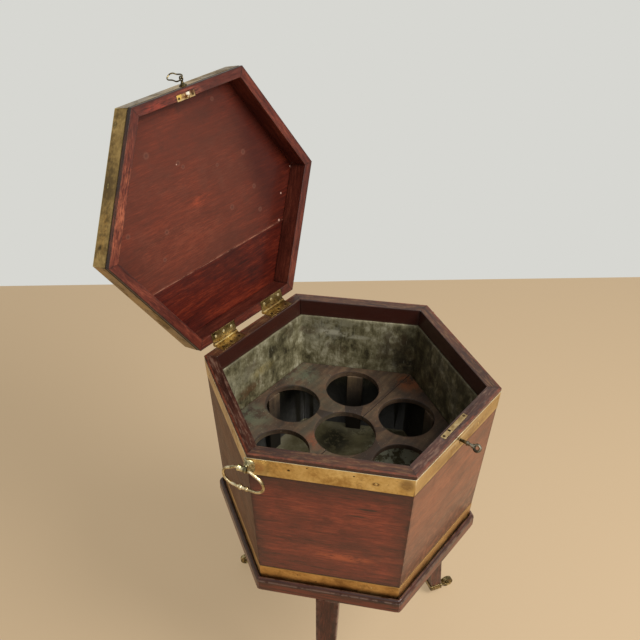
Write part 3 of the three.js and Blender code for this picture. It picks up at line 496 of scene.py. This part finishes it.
def facePatches(rows, lid=False):
    # Spots on the bands: face, along, height, half along, half height, colour, amount, how broken up
    made = []
    for azimuth, along, height, half, tall, colour, amount, broken in rows:
        outward = faceAxes(azimuth)[1]
        halves = onWall(azimuth, half, tall, 0)
        halves[0] += abs(outward.x) * 4 * mm
        halves[1] += abs(outward.y) * 4 * mm
        made.append((onFace(azimuth, along, height, lid=lid), halves, colour, amount, broken))
    return made


brassLook = looks(
    {}, dark=(176, 142, 86), middle=(208, 178, 116), bright=(228, 202, 144), tarnish=0.5,
    tarnishColour=(140, 102, 56), clean=0.56, mottleScale=20, edge=0.5, edgeColour=(120, 88, 50), rough=0.34,
    bump=0.5)
brown, darkBrown, gold = (150, 92, 46), (84, 56, 34), (240, 214, 150)
bandBrass = metal(
    "wornBandBrass",
    looks(brassLook, edges=(-0.042, -0.007), upperEdge=(255, 246, 214), lowerEdge=(120, 84, 44)),
    facePatches([
        (210, -104, -26, 9, 11, brown, 0.6, 0.1), (210, 108, -20, 10, 12, (120, 92, 62), 0.7, 0.1),
        (210, 20, -24, 40, 9, gold, 0.5, 0.2), (210, -76, -20, 20, 8, (226, 178, 104), 0.6, 0.2),
        (210, 65.4, -26.3, 3.2, 3.2, darkBrown, 0.9, 0), (270, 56.4, -29.1, 3.4, 3.4, darkBrown, 0.9, 0),
        (270, -73, -28.8, 7, 7, (206, 170, 110), 0.6, 0),
        (270, 20, -24, 90, 16, (160, 124, 74), 0.85, 0.2),
        (150, 0, -24, 110, 16, (140, 104, 60), 0.7, 0.3),
        (270, -60, -22, 50, 14, (176, 132, 78), 0.6, 0.2)]))
lowBandBrass = metal("lowBandBrass", looks(
    brassLook, dark=(156, 116, 66), middle=(190, 148, 88), bright=(212, 172, 108), clean=0.52,
    edges=(-0.2984, -0.2667), upperEdge=(196, 158, 100), lowerEdge=(72, 50, 28)))
nailRing, nailShine = (62, 52, 32), (150, 128, 76)
lidBandBrass = metal(
    "dullLidBrass",
    looks(brassLook, dark=(104, 82, 46), middle=(146, 118, 68), bright=(182, 150, 92),
          tarnishColour=(80, 62, 36), clean=0.5, rough=0.32, mottleScale=16, edges=(0.0088, 0.0413),
          upperEdge=(196, 176, 120), lowerEdge=(92, 74, 44)),
    facePatches([
        (210, 94.9, 34.2, 4, 4, nailRing, 0.7, 0), (210, 94.9, 34.2, 2.2, 2.2, nailShine, 1, 0),
        (210, 3, 30.4, 4, 4, nailRing, 0.7, 0), (210, 3, 30.4, 2.2, 2.2, nailShine, 1, 0),
        (210, -89.4, 29.1, 4.4, 4.4, nailRing, 0.6, 0), (210, -60, 26, 46, 9, (186, 142, 74), 0.6, 0.2),
        (210, 50, 24, 40, 10, (170, 138, 80), 0.5, 0.2)], lid=True))
hingeBrass = metal("hingeBrass", looks(
    brassLook, dark=(112, 92, 52), middle=(164, 138, 84), bright=(208, 184, 126), tarnishColour=(80, 60, 34),
    tarnish=0.65, mottleScale=55, clean=0.5, rough=0.3))
lockLook = looks(
    brassLook, dark=(150, 124, 84), middle=(192, 164, 116), bright=(220, 198, 150),
    tarnishColour=(110, 92, 56), mottleScale=50, clean=0.54)
lockBrass = metal("lockBrass", lockLook)
linkBrass = metal("rustyLinkPlate", looks(lockLook, rough=0.4), [
    (Vector((x, -198, 0)) * mm, [half * mm, 6 * mm, 4 * mm], colour, amount, broken)
    for x, half, colour, amount, broken in (
        (-13, 24, (112, 54, 36), 0.8, 0.1), (-27, 5, (226, 188, 100), 0.9, 0),
        (-8, 3.4, (250, 242, 222), 0.95, 0), (1, 3.4, (70, 36, 24), 0.8, 0))])
handleBrass = metal("handledBrass", looks(
    brassLook, dark=(140, 124, 90), middle=(202, 184, 142), bright=(244, 232, 200),
    tarnishColour=(74, 66, 44), mottleScale=90, clean=0.54, rough=0.24, bump=0.3))
postBrass = metal("darkHandleBrass", looks(
    brassLook, dark=(96, 90, 68), middle=(164, 154, 116), bright=(230, 218, 178),
    tarnishColour=(46, 46, 34), mottleScale=80, clean=0.52, rough=0.24, bump=0.4))
pullBrass = metal("bronzedPullBrass", looks(
    brassLook, dark=(58, 50, 34), middle=(102, 90, 60), bright=(186, 168, 120),
    tarnishColour=(44, 38, 26), mottleScale=90, clean=0.5, rough=0.26))
casterBrass = metal("casterBrass", looks(
    brassLook, dark=(70, 62, 44), middle=(120, 104, 70), bright=(206, 186, 136),
    tarnishColour=(52, 44, 30), mottleScale=80, clean=0.5, rough=0.26))
darkSteel = metal("oiledSteel", looks(
    brassLook, dark=(66, 60, 50), middle=(120, 112, 96), bright=(200, 192, 172),
    tarnishColour=(54, 38, 26), mottleScale=120, clean=0.55, rough=0.24, bump=0.3))
nailLook = looks(brassLook, mottleScale=300, tarnish=0.3, bump=0.1)
brightNail = metal("brightNail", looks(
    nailLook, dark=(216, 190, 130), middle=(240, 222, 170), bright=(255, 246, 214), rough=0.4))
goldNail = metal("goldNail", looks(
    nailLook, dark=(180, 146, 90), middle=(212, 182, 120), bright=(240, 216, 160), rough=0.3))
darkNail = metal("darkNail", looks(
    nailLook, dark=(40, 32, 22), middle=(70, 54, 34), bright=(104, 82, 52), rough=0.5))
deal = dealWood("agedDeal", tint(40, 30, 21), tint(67, 51, 36), tint(96, 76, 55), 0.85)
propDeal = dealWood("propDeal", tint(50, 38, 26), tint(80, 64, 46), tint(112, 92, 66), 0.88)
lead = leadSheet()
print("materials made")


# Making pieces

def placed(name, data):
    # A new object in the scene
    made = bpy.data.objects.new(name, data)
    bpy.context.scene.collection.objects.link(made)
    return made


def finishMesh(bm, name, material, body, replaced=(), grain=None, seed=0, sharp=34):
    # Writes the place, grain and reach attributes, makes the object and lets it ride on its body
    for face in bm.faces:
        face.smooth = True
    if "worn" not in bm.verts.layers.float:
        bm.verts.layers.float.new("worn")
    placeLayer = bm.verts.layers.float_vector.new("place")
    grainLayer = bm.verts.layers.float_vector.new("grain")
    reachLayer = bm.verts.layers.float.new("reach")
    back = shutLid if body.startswith("lid") else Matrix()
    shift = Vector((0, 0, seed * 0.53))  # so that no two pieces have the same grain
    for vertex in bm.verts:
        place = back @ vertex.co - rimPoint
        vertex[placeLayer] = place
        local = grain @ place if grain else place
        vertex[grainLayer] = local + shift
        vertex[reachLayer] = local.z
    mesh = bpy.data.meshes.new(name)
    bm.to_mesh(mesh)
    bm.free()
    mesh.set_sharp_from_angle(angle=math.radians(sharp))
    mesh.materials.append(material)
    made = placed(name, mesh)
    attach(made, body)
    if replaced:
        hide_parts(*replaced)


def flatPlanes(bm, least, most):
    # The planes of the largest flat areas, as (point, normal)
    areas = {}
    for face in bm.faces:
        away = face.normal.dot(face.verts[0].co) * 400  # rounding below makes steps of 0.025 mm
        key = tuple(round(c, 2) for c in (*face.normal, away))
        area, plane = areas.get(key, (0, (face.verts[0].co.copy(), face.normal.copy())))
        areas[key] = (area + face.calc_area(), plane)
    found = sorted((entry for entry in areas.values() if entry[0] > least), key=lambda entry: -entry[0])
    return [plane for area, plane in found[:most]]


def nearness(points, edges, reach):
    # For each point 1 on an edge, falling to 0 at reach from it
    starts = numpy.array([tuple(a) for a, b in edges])
    runs = numpy.array([tuple(b - a) for a, b in edges])
    lengths = (runs ** 2).sum(axis=1)
    result = []
    for point in points:
        away = numpy.array(tuple(point)) - starts
        share = numpy.clip((away * runs).sum(axis=1) / lengths, 0, 1)
        gap = numpy.sqrt(((away - runs * share[:, None]) ** 2).sum(axis=1)).min()
        result.append(max(0.0, 1 - gap / reach))
    return result


def cutAcross(bm, point, normal):
    bmesh.ops.bisect_plane(bm, geom=bm.verts[:] + bm.edges[:] + bm.faces[:], dist=1e-6,
                           plane_co=point, plane_no=normal)


def dressed(node, material, rounding=0.6, ring=3.0, segments=2, along=None, least=4.0, grain=None, seed=0,
            cuts=(), bend=None, sharp=34, planes=12):
    # A copy of a node with rounded convex edges and, near them, points that carry their wear. Edges
    # shorter than least or off the direction along stay sharp. Wear reaches as far as ring. All in mm
    bm = bmesh.new()
    bm.from_mesh(frame["nodes"][node].data)
    bmesh.ops.remove_doubles(bm, verts=bm.verts, dist=2e-6)
    bmesh.ops.dissolve_limit(bm, angle_limit=math.radians(0.6), verts=bm.verts, edges=bm.edges)
    flats = flatPlanes(bm, 4 * (ring * mm) ** 2, planes) if ring else []
    crisp = []
    edges = []
    for edge in bm.edges:
        if len(edge.link_faces) < 2 or edge.calc_face_angle(0) < math.radians(28) or not edge.is_convex:
            continue
        crisp.append((edge.verts[0].co.copy(), edge.verts[1].co.copy()))
        if edge.calc_length() < least * mm:
            continue
        if along and abs((edge.verts[1].co - edge.verts[0].co).normalized().dot(along)) < 0.9:
            continue
        edges.append(edge)
    bmesh.ops.triangulate(bm, faces=[face for face in bm.faces if len(face.verts) > 8])
    edges = [edge for edge in edges if edge.is_valid]
    if edges and rounding:
        bmesh.ops.bevel(bm, geom=edges, offset=rounding * mm, offset_type="OFFSET", segments=segments,
                        profile=0.5, affect="EDGES", clamp_overlap=True)
    bmesh.ops.triangulate(bm, faces=[face for face in bm.faces if len(face.verts) > 4])
    for point, normal in flats:
        for depth in (ring * 0.3, ring):
            cutAcross(bm, point - normal * depth * mm, normal)
    for point, normal in cuts:
        cutAcross(bm, point, normal)
    worn = bm.verts.layers.float.new("worn")
    if ring and crisp:
        for vertex, value in zip(bm.verts, nearness([v.co for v in bm.verts], crisp, ring * mm)):
            vertex[worn] = min(1.0, value * 1.25)
    if bend:
        bend(bm.verts)
    finishMesh(bm, node + "_dressed", material, bodies[node], [node], grain=grain, seed=seed, sharp=sharp)


def faceGrain(azimuth, upright=False):
    # Turns a place into (along the grain, across it, into the wood)
    tangent, outward = faceAxes(azimuth)
    return Matrix((upward, tangent, outward) if upright else (tangent, upward, outward))


def roundEnds(azimuth, radius, lowest):
    # Cuts and a bend that round the corners where mitred bars meet, beyond the lowest reach
    tangent, outward = faceAxes(azimuth)
    rounded = radius * cornerSlope  # how much of the bar's length is bent
    cuts = []
    for side in (-1, 1):
        for step in (0.2, 0.4, 0.6, 0.8, 1.0):
            point = rimPoint + outward * lowest + tangent * side * (lowest * cornerSlope - rounded * step)
            cuts.append((point, tangent * side - outward * cornerSlope))

    def bend(verts):
        for vertex in verts:
            place = vertex.co - rimPoint
            reach, across = place.dot(outward), place.dot(tangent)
            left = reach * cornerSlope - abs(across)
            if reach < lowest or left >= rounded:
                continue
            turn = math.radians(30) * (1 - left / rounded)
            nearer = left - radius * (cornerSlope - math.sin(turn))
            drop = radius * (1 - math.cos(turn))
            vertex.co += tangent * math.copysign(nearer, across) - outward * drop
    return {"cuts": cuts, "bend": bend}


# Nail and screw heads stand on points, each along its point's facing and at its size

def headTree(name, slotted):
    tree = bpy.data.node_groups.new(name, "GeometryNodeTree")
    for label, way, kind in (("Points", "INPUT", "Geometry"), ("headRadius", "INPUT", "Float"),
                             ("headHeight", "INPUT", "Float"), ("finish", "INPUT", "Material"),
                             ("Heads", "OUTPUT", "Geometry")):
        tree.interface.new_socket(label, in_out=way, socket_type="NodeSocket" + kind)
    shade = Shade(tree)
    points, radius, height, finish = (shade.node("NodeGroupInput", output=label)
                                      for label in ("Points", "headRadius", "headHeight", "finish"))
    facing = shade.node("GeometryNodeInputNamedAttribute", {"Name": "facing"}, data_type="FLOAT_VECTOR")
    size = shade.node("GeometryNodeInputNamedAttribute", {"Name": "size"}, data_type="FLOAT")
    turn = shade.node("FunctionNodeAlignRotationToVector", {"Vector": facing}, axis="Z")
    if slotted:
        disc = shade.node("GeometryNodeMeshCylinder", {"Vertices": 20, "Radius": 1.0, "Depth": 2.0})
        slot = shade.node("GeometryNodeMeshCube", {"Size": (3.0, 0.26, 1.0)})
        slot = shade.node("GeometryNodeTransform", {"Geometry": slot, "Translation": (0.0, 0.0, 1.0)})
        head = shade.node("GeometryNodeMeshBoolean", {"Mesh 1": disc, "Mesh 2": slot}, operation="DIFFERENCE")
    else:
        head = shade.node("GeometryNodeMeshUVSphere", {"Segments": 16, "Rings": 8, "Radius": 1.0})
    scale = shade.node("CombineXYZ", {0: radius, 1: radius, 2: height})
    head = shade.node("GeometryNodeTransform", {"Geometry": head, "Scale": scale})
    many = shade.node("GeometryNodeInstanceOnPoints", {
        "Points": points, "Instance": head, "Rotation": turn, "Scale": size})
    whole = shade.node("GeometryNodeRealizeInstances", {"Geometry": many})
    done = shade.node("GeometryNodeSetMaterial", {"Geometry": whole, "Material": finish})
    shade.node("NodeGroupOutput", {0: done})
    return tree


nailTree = headTree("nailHeads", False)
screwTree = headTree("screwHeads", True)


def heads(name, node, finish, points, headRadius, headHeight, tree=nailTree):
    # points are (place, facing, size); the heads belong to the node that they fasten
    mesh = bpy.data.meshes.new(name + "_points")
    mesh.from_pydata([tuple(place) for place, facing, size in points], [], [])
    facings = mesh.attributes.new("facing", "FLOAT_VECTOR", "POINT")
    facings.data.foreach_set("vector", [c for place, facing, size in points for c in facing])
    sizes = mesh.attributes.new("size", "FLOAT", "POINT")
    sizes.data.foreach_set("value", [size for place, facing, size in points])
    carrier = placed(name + "_points", mesh)
    modifier = carrier.modifiers.new("heads", "NODES")
    modifier.node_group = tree
    values = {"headRadius": headRadius * mm, "headHeight": headHeight * mm, "finish": finish}
    for item in tree.interface.items_tree:
        if item.name in values:
            modifier[item.identifier] = values[item.name]
    made = bpy.data.meshes.new_from_object(carrier.evaluated_get(bpy.context.evaluated_depsgraph_get()))
    bpy.data.objects.remove(carrier)
    bm = bmesh.new()
    bm.from_mesh(made)
    bmesh.ops.recalc_face_normals(bm, faces=bm.faces)
    finishMesh(bm, name, finish, bodies[node])


def faceHeads(rows, lid=False):
    # rows are (face, along, height, size) on the bands
    made = []
    for azimuth, along, height, size in rows:
        place = rimPoint + onFace(azimuth, along, height, lid=lid)
        facing = (faceAxes(azimuth)[1] - Vector((0, 0, 0 if lid else lean))).normalized()
        if lid:
            place, facing = openLid @ place, turnLid @ facing
        made.append((place, facing, size))
    return made


# Body and stand

standCorner = {"radius": 13 * mm, "lowest": 0.1945}
for number, (face, azimuth) in enumerate(faceTurns.items()):
    tangent = faceAxes(azimuth)[0]
    wood = {"front_left": frontWood, "front": fadedWood, "back_left": shadedWood}.get(face, panelWood)
    dressed("panel_" + face, wood, rounding=0.9, ring=5, along=tangent, least=20, segments=3,
            grain=faceGrain(azimuth), seed=number + 1)
    dressed("stand_rail_" + face, standWood, rounding=1.2, ring=3, along=tangent, least=60, segments=3,
            grain=faceGrain(azimuth), seed=number + 11, **roundEnds(azimuth, **standCorner))
    dressed("prop_" + face, propDeal, ring=2, grain=faceGrain(azimuth, True), seed=number + 21)
plainGrain = Matrix.Identity(3)
dressed("carcass_bottom", standWood, rounding=0.5, ring=5, grain=plainGrain, seed=31)
dressed("band_top", bandBrass, rounding=0.3, ring=1.6, planes=18, least=30)
dressed("band_bottom", lowBandBrass, rounding=0.3, ring=1.8, planes=18, least=30)
for number, half in enumerate(("back", "front")):
    dressed("divider_" + half, deal, rounding=0.9, ring=4, grain=plainGrain, seed=number + 41, least=2)

bandNails = {  # face, along, height, size
    "bright": [(210, 65.4, -26.3, 1.0), (270, 56.4, -29.1, 1.0), (210, 68.5, -278.3, 0.8)],
    "dark": [(210, -59, -22.2, 1.1), (210, 34.3, -15.8, 0.7), (210, -32.2, -12.5, 0.6), (270, 6, -34.1, 0.7),
             (270, -40, -282, 0.8), (210, -20, -286, 0.7), (210, -50, -276, 0.6)],
}
hidden = random.Random(12)  # for the nails that the photo hides


def nailAbout(azimuth, along, height, stray, size):
    return azimuth, along + hidden.uniform(-6, 6), height + hidden.uniform(-stray, stray), size


for azimuth in (30, 90, 150, 330):
    for along in (-92, -30, 34, 90):
        kind = "bright" if hidden.random() < 0.4 else "dark"
        bandNails[kind].append(nailAbout(azimuth, along, -24, 5, 0.9))
        bandNails["dark"].append(nailAbout(azimuth, along * 0.8, -282, 4, 0.7))
heads("band_nails_bright", "band_top", goldNail, faceHeads(bandNails["bright"]), 2.3, 0.55)
heads("band_nails_dark", "band_top", darkNail, faceHeads(bandNails["dark"]), 1.9, 0.12)
print("body and stand dressed")

# Lid

for number, (face, azimuth) in enumerate(faceTurns.items()):
    tangent = turnLid @ faceAxes(azimuth)[0]
    wood = {"front_left": paleRailWood, "front": frontRailWood}.get(face, railWood)
    dressed("lid_rail_" + face, wood, rounding=0.8, ring=3.2, along=tangent, least=30, segments=3,
            grain=faceGrain(azimuth), seed=number + 51)
for number, board in enumerate(("wide", "narrow")):
    dressed("lid_board_" + board, (lidWood, narrowWood)[number], rounding=0.4, ring=4, grain=plainGrain,
            seed=number + 61, least=30)
dressed("lid_band", lidBandBrass, rounding=0.3, ring=1.8, planes=18, least=30)
dressed("link_plate", linkBrass, rounding=0.25, ring=1, least=1.5)
lidNails = [(210, 94.9, 34.2, 0.7), (210, 3, 30.4, 0.7), (210, -89.4, 29.1, 0.7)]
for azimuth in (30, 90, 150, 270, 330):
    for along in (-88, 2, 92):
        lidNails.append(nailAbout(azimuth, along, 30, 4, 0.7))
heads("lid_band_nails", "lid_band", darkNail, faceHeads(lidNails, lid=True), 1.7, 0.12)
print("lid dressed")

# Liner: the inner walls are hammered, and their corners softly folded

sheet = {  # all in mm, heights from the rim
    "depth": 23, "from": -128, "to": -33, "row": 7, "column": 9, "fade": 20, "dent": 0.9, "fold": 9,
    "wave": 0.8, "lip": -32.5, "floor": -290, "middle": 150,
}
bothWalls = 1.7315  # just under tan 60 degrees, so the points on a corner belong to both its walls
innerReach = rimReach - sheet["depth"] * mm


def sheetCuts():
    cuts = [(rimPoint + upward * height * mm, upward)
            for height in range(sheet["from"], sheet["to"], sheet["row"])]
    for azimuth in (30, 90, 150):
        tangent = faceAxes(azimuth)[0]
        cuts += [(rimPoint + tangent * step * sheet["column"] * mm, tangent) for step in range(-12, 13)]
    for azimuth in faceTurns.values():
        cuts += roundEnds(azimuth, sheet["fold"] * mm, innerReach)["cuts"]
    return cuts


def hammered(verts):
    # Folds the corners of the inner walls and dents them, and waves the cut upper edge
    inner = []
    for vertex in verts:
        place = vertex.co - rimPoint
        reach = max(place.dot(faceAxes(azimuth)[1]) for azimuth in faceTurns.values())
        facing = sheet["middle"] * mm < reach < innerReach + lean * place.z + 1 * mm
        if facing and place.z > sheet["floor"] * mm:
            inner.append(vertex)
    for azimuth in faceTurns.values():
        tangent, outward = faceAxes(azimuth)
        own = []
        for vertex in inner:
            place = vertex.co - rimPoint
            if place.dot(outward) > abs(place.dot(tangent)) * bothWalls:
                own.append(vertex)
        roundEnds(azimuth, sheet["fold"] * mm, sheet["middle"] * mm)["bend"](own)
    for vertex in inner:
        place = vertex.co - rimPoint
        share = min(1.0, max(0.0, (place.z / mm - sheet["from"]) / sheet["fade"]))
        dent = noise.noise(place * 26) + noise.noise(place * 60) * 0.4
        level = Vector((place.x, place.y, 0)).normalized()
        vertex.co += level * dent * share * sheet["dent"] * mm
    for vertex in verts:
        place = vertex.co - rimPoint
        if place.z > sheet["lip"] * mm:
            vertex.co.z += noise.noise(Vector((place.x, place.y, 0)) * 24) * sheet["wave"] * mm


dressed("lead_liner", lead, ring=2, least=30, cuts=sheetCuts(), bend=hammered, sharp=50)
print("liner hammered")

# Hinges and lock

def stouter(wire, bead=0):
    # More metal than the bare form, and most about the beads at its lowest point
    beadReach = 9 * mm

    def bend(verts):
        lowest = min(verts, key=lambda vertex: vertex.co.z).co.copy()
        for vertex in verts:
            vertex.normal_update()
        moves = []
        for vertex in verts:
            near = min(1.0, max(0.0, 1 - (vertex.co - lowest).length / beadReach) * 3)
            moves.append(vertex.normal * (wire + bead * near) * mm)
        for vertex, move in zip(verts, moves):
            vertex.co += move
    return bend


def onRim(places):
    return [(rimPoint + place, upward, 1) for place in places]


def underLid(places):
    # The same places on the lid's lower side, which is 0.3 mm above the rim when it is shut
    return [(openLid @ (rimPoint + place + upward * 0.3 * mm), turnLid @ -upward, 1) for place in places]


hingeNails = {"apart": 19, "fromFront": 8}
for side in ("left", "right"):
    for leaf in ("body", "lid"):
        dressed(f"hinge_{side}_{leaf}_leaf", hingeBrass, rounding=0.2, ring=1.2, least=2)
    middle = (sum(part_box(f"hinge_{side}_body_leaf"), Vector()) / 2 - rimPoint).x
    spots = [Vector((middle + step * hingeNails["apart"] * mm, rimReach - hingeNails["fromFront"] * mm, 0))
             for step in (-1, 0, 1)]
    heads(f"hinge_{side}_nails", f"hinge_{side}_lid_leaf", brightNail, underLid(spots), 2.6, 0.18)
    heads(f"hinge_{side}_screws", f"hinge_{side}_body_leaf", darkNail, onRim(spots), 2.6, 0.06, screwTree)
dressed("lock_case", lockBrass, rounding=0.2, ring=1.2, least=4)
dressed("lock_bolt", darkSteel, rounding=0.2, ring=0.8, least=1.5)
dressed("key", darkSteel, rounding=0, ring=0, bend=stouter(0.45))
lockLine = (sum(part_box("lock_bolt"), Vector()) / 2 - rimPoint).y
lockScrews = [Vector((x * mm, lockLine, 0)) for x in (-28, 28, 2)]
heads("selvedge_screws", "lock_case", darkNail, onRim(lockScrews[:2]), 2.2, 0.12, screwTree)
heads("link_plate_screws", "link_plate", darkNail, underLid(lockScrews[::2]), 2.2, 0.12, screwTree)

# Handles and pull

for side in ("left", "right"):
    dressed(f"handle_{side}_post", postBrass, rounding=0, ring=0, sharp=50)
    dressed(f"handle_{side}_bail", handleBrass, rounding=0, ring=0, bend=stouter(0.6, 0.8))
dressed("pull_post", pullBrass, rounding=0, ring=0)
dressed("pull_loop", pullBrass, rounding=0, ring=0)

# Legs and casters

for number, face in enumerate(("back", "front_left", "front_right")):
    grain = faceGrain(faceTurns[face], True)
    dressed("leg_" + face, standWood, rounding=0, ring=2.5, grain=grain, seed=number + 71)
    dressed("caster_cup_" + face, casterBrass, rounding=0.3, ring=0, least=8)
    dressed("caster_fork_" + face, casterBrass, rounding=0.3, ring=0, least=3)
    dressed("caster_wheel_" + face, casterBrass, rounding=0, ring=0)
print("legs and casters dressed")


# Floor, light and camera

room = {"farLeft": (249.2, 1690.3), "farRight": (1688.2, 3.3), "wider": 2600, "nearer": 4600,
        "floorColour": tint(156, 136, 109), "glowColour": tint(208, 181, 143), "glow": 0.5,
        "wallColour": tint(215, 215, 210), "around": 0.22}


def makeRoom():
    left, right = (Vector((*room[end], 0)) * mm for end in ("farLeft", "farRight"))
    run = (right - left).normalized()
    nearer = Vector((run.y, -run.x, 0)) * room["nearer"] * mm
    left, right = left - run * room["wider"] * mm, right + run * room["wider"] * mm
    mesh = bpy.data.meshes.new("floor")
    mesh.from_pydata([left, right, right + nearer, left + nearer], [], [(3, 2, 1, 0)])
    floor = placed("floor", mesh)
    floor.location = (axis.x, axis.y, -0.2 * mm)
    material = startMaterial("paleFloor")[0]
    closeMaterial(material, room["floorColour"], 0.6)
    shader = material.node_tree.nodes["Principled BSDF"]
    shader.inputs["Emission Color"].default_value = room["glowColour"]
    shader.inputs["Emission Strength"].default_value = room["glow"]
    mesh.materials.append(material)
    world = bpy.data.worlds.new("studio")
    world.use_nodes = True
    world.node_tree.nodes.clear()
    shade = Shade(world.node_tree)
    seen = shade.node("LightPath", output="Is Camera Ray")
    for kind in ("Glossy", "Transmission"):
        seen = seen.most(shade.node("LightPath", output=f"Is {kind} Ray"))
    around = shade.node("Background", {0: (1, 0.985, 0.965, 1), 1: room["around"]})
    behind = shade.node("Background", {0: room["wallColour"], 1: 1.0})
    shade.node("OutputWorld", {0: shade.node("MixShader", {0: seen, 1: around, 2: behind})})
    bpy.context.scene.world = world


lamps = {
    "window": {"azimuth": 282, "elevation": 48, "distance": 2.4, "size": 1.4, "power": 62,
               "colour": (1, 0.97, 0.93)},
    "fill": {"azimuth": 228, "elevation": 36, "distance": 2.8, "size": 2.0, "power": 12,
             "colour": (1, 0.97, 0.94)},
}


def makeLamps():
    target = Vector((axis.x, axis.y, 0.5))
    for name, look in lamps.items():
        turn, rise = math.radians(look["azimuth"]), math.radians(look["elevation"])
        light = bpy.data.lights.new(name, "AREA")
        light.shape = "DISK"
        light.size = look["size"]
        light.energy = look["power"]
        light.color = look["colour"]
        lamp = placed(name, light)
        away = Vector((math.cos(turn) * math.cos(rise), math.sin(turn) * math.cos(rise), math.sin(rise)))
        lamp.location = target + away * look["distance"]
        lamp.rotation_euler = away.to_track_quat("Z", "Y").to_euler()


photoView = {"place": (-794.8, -563.9, 810.9), "heading": 45.68, "pitch": -33.66, "roll": -2.92,
             "lens": 43.55, "shiftX": 0.1113, "shiftY": -0.0492}


def makeCamera():
    camera = placed("camera", bpy.data.cameras.new("camera"))
    camera.data.sensor_width = 36
    camera.data.lens = photoView["lens"]
    camera.data.shift_x = photoView["shiftX"]
    camera.data.shift_y = photoView["shiftY"]
    camera.data.clip_start = 0.01
    heading, pitch, roll = (math.radians(photoView[turn]) for turn in ("heading", "pitch", "roll"))
    turned = (Matrix.Rotation(-heading, 4, "Z") @ Matrix.Rotation(math.radians(90) + pitch, 4, "X")
              @ Matrix.Rotation(roll, 4, "Z"))
    camera.matrix_world = Matrix.Translation(rimPoint + Vector(photoView["place"]) * mm) @ turned
    bpy.context.scene.camera = camera


makeRoom()
makeLamps()
makeCamera()
bpy.context.scene.view_settings.view_transform = "Standard"
print("room, lamps and camera set")
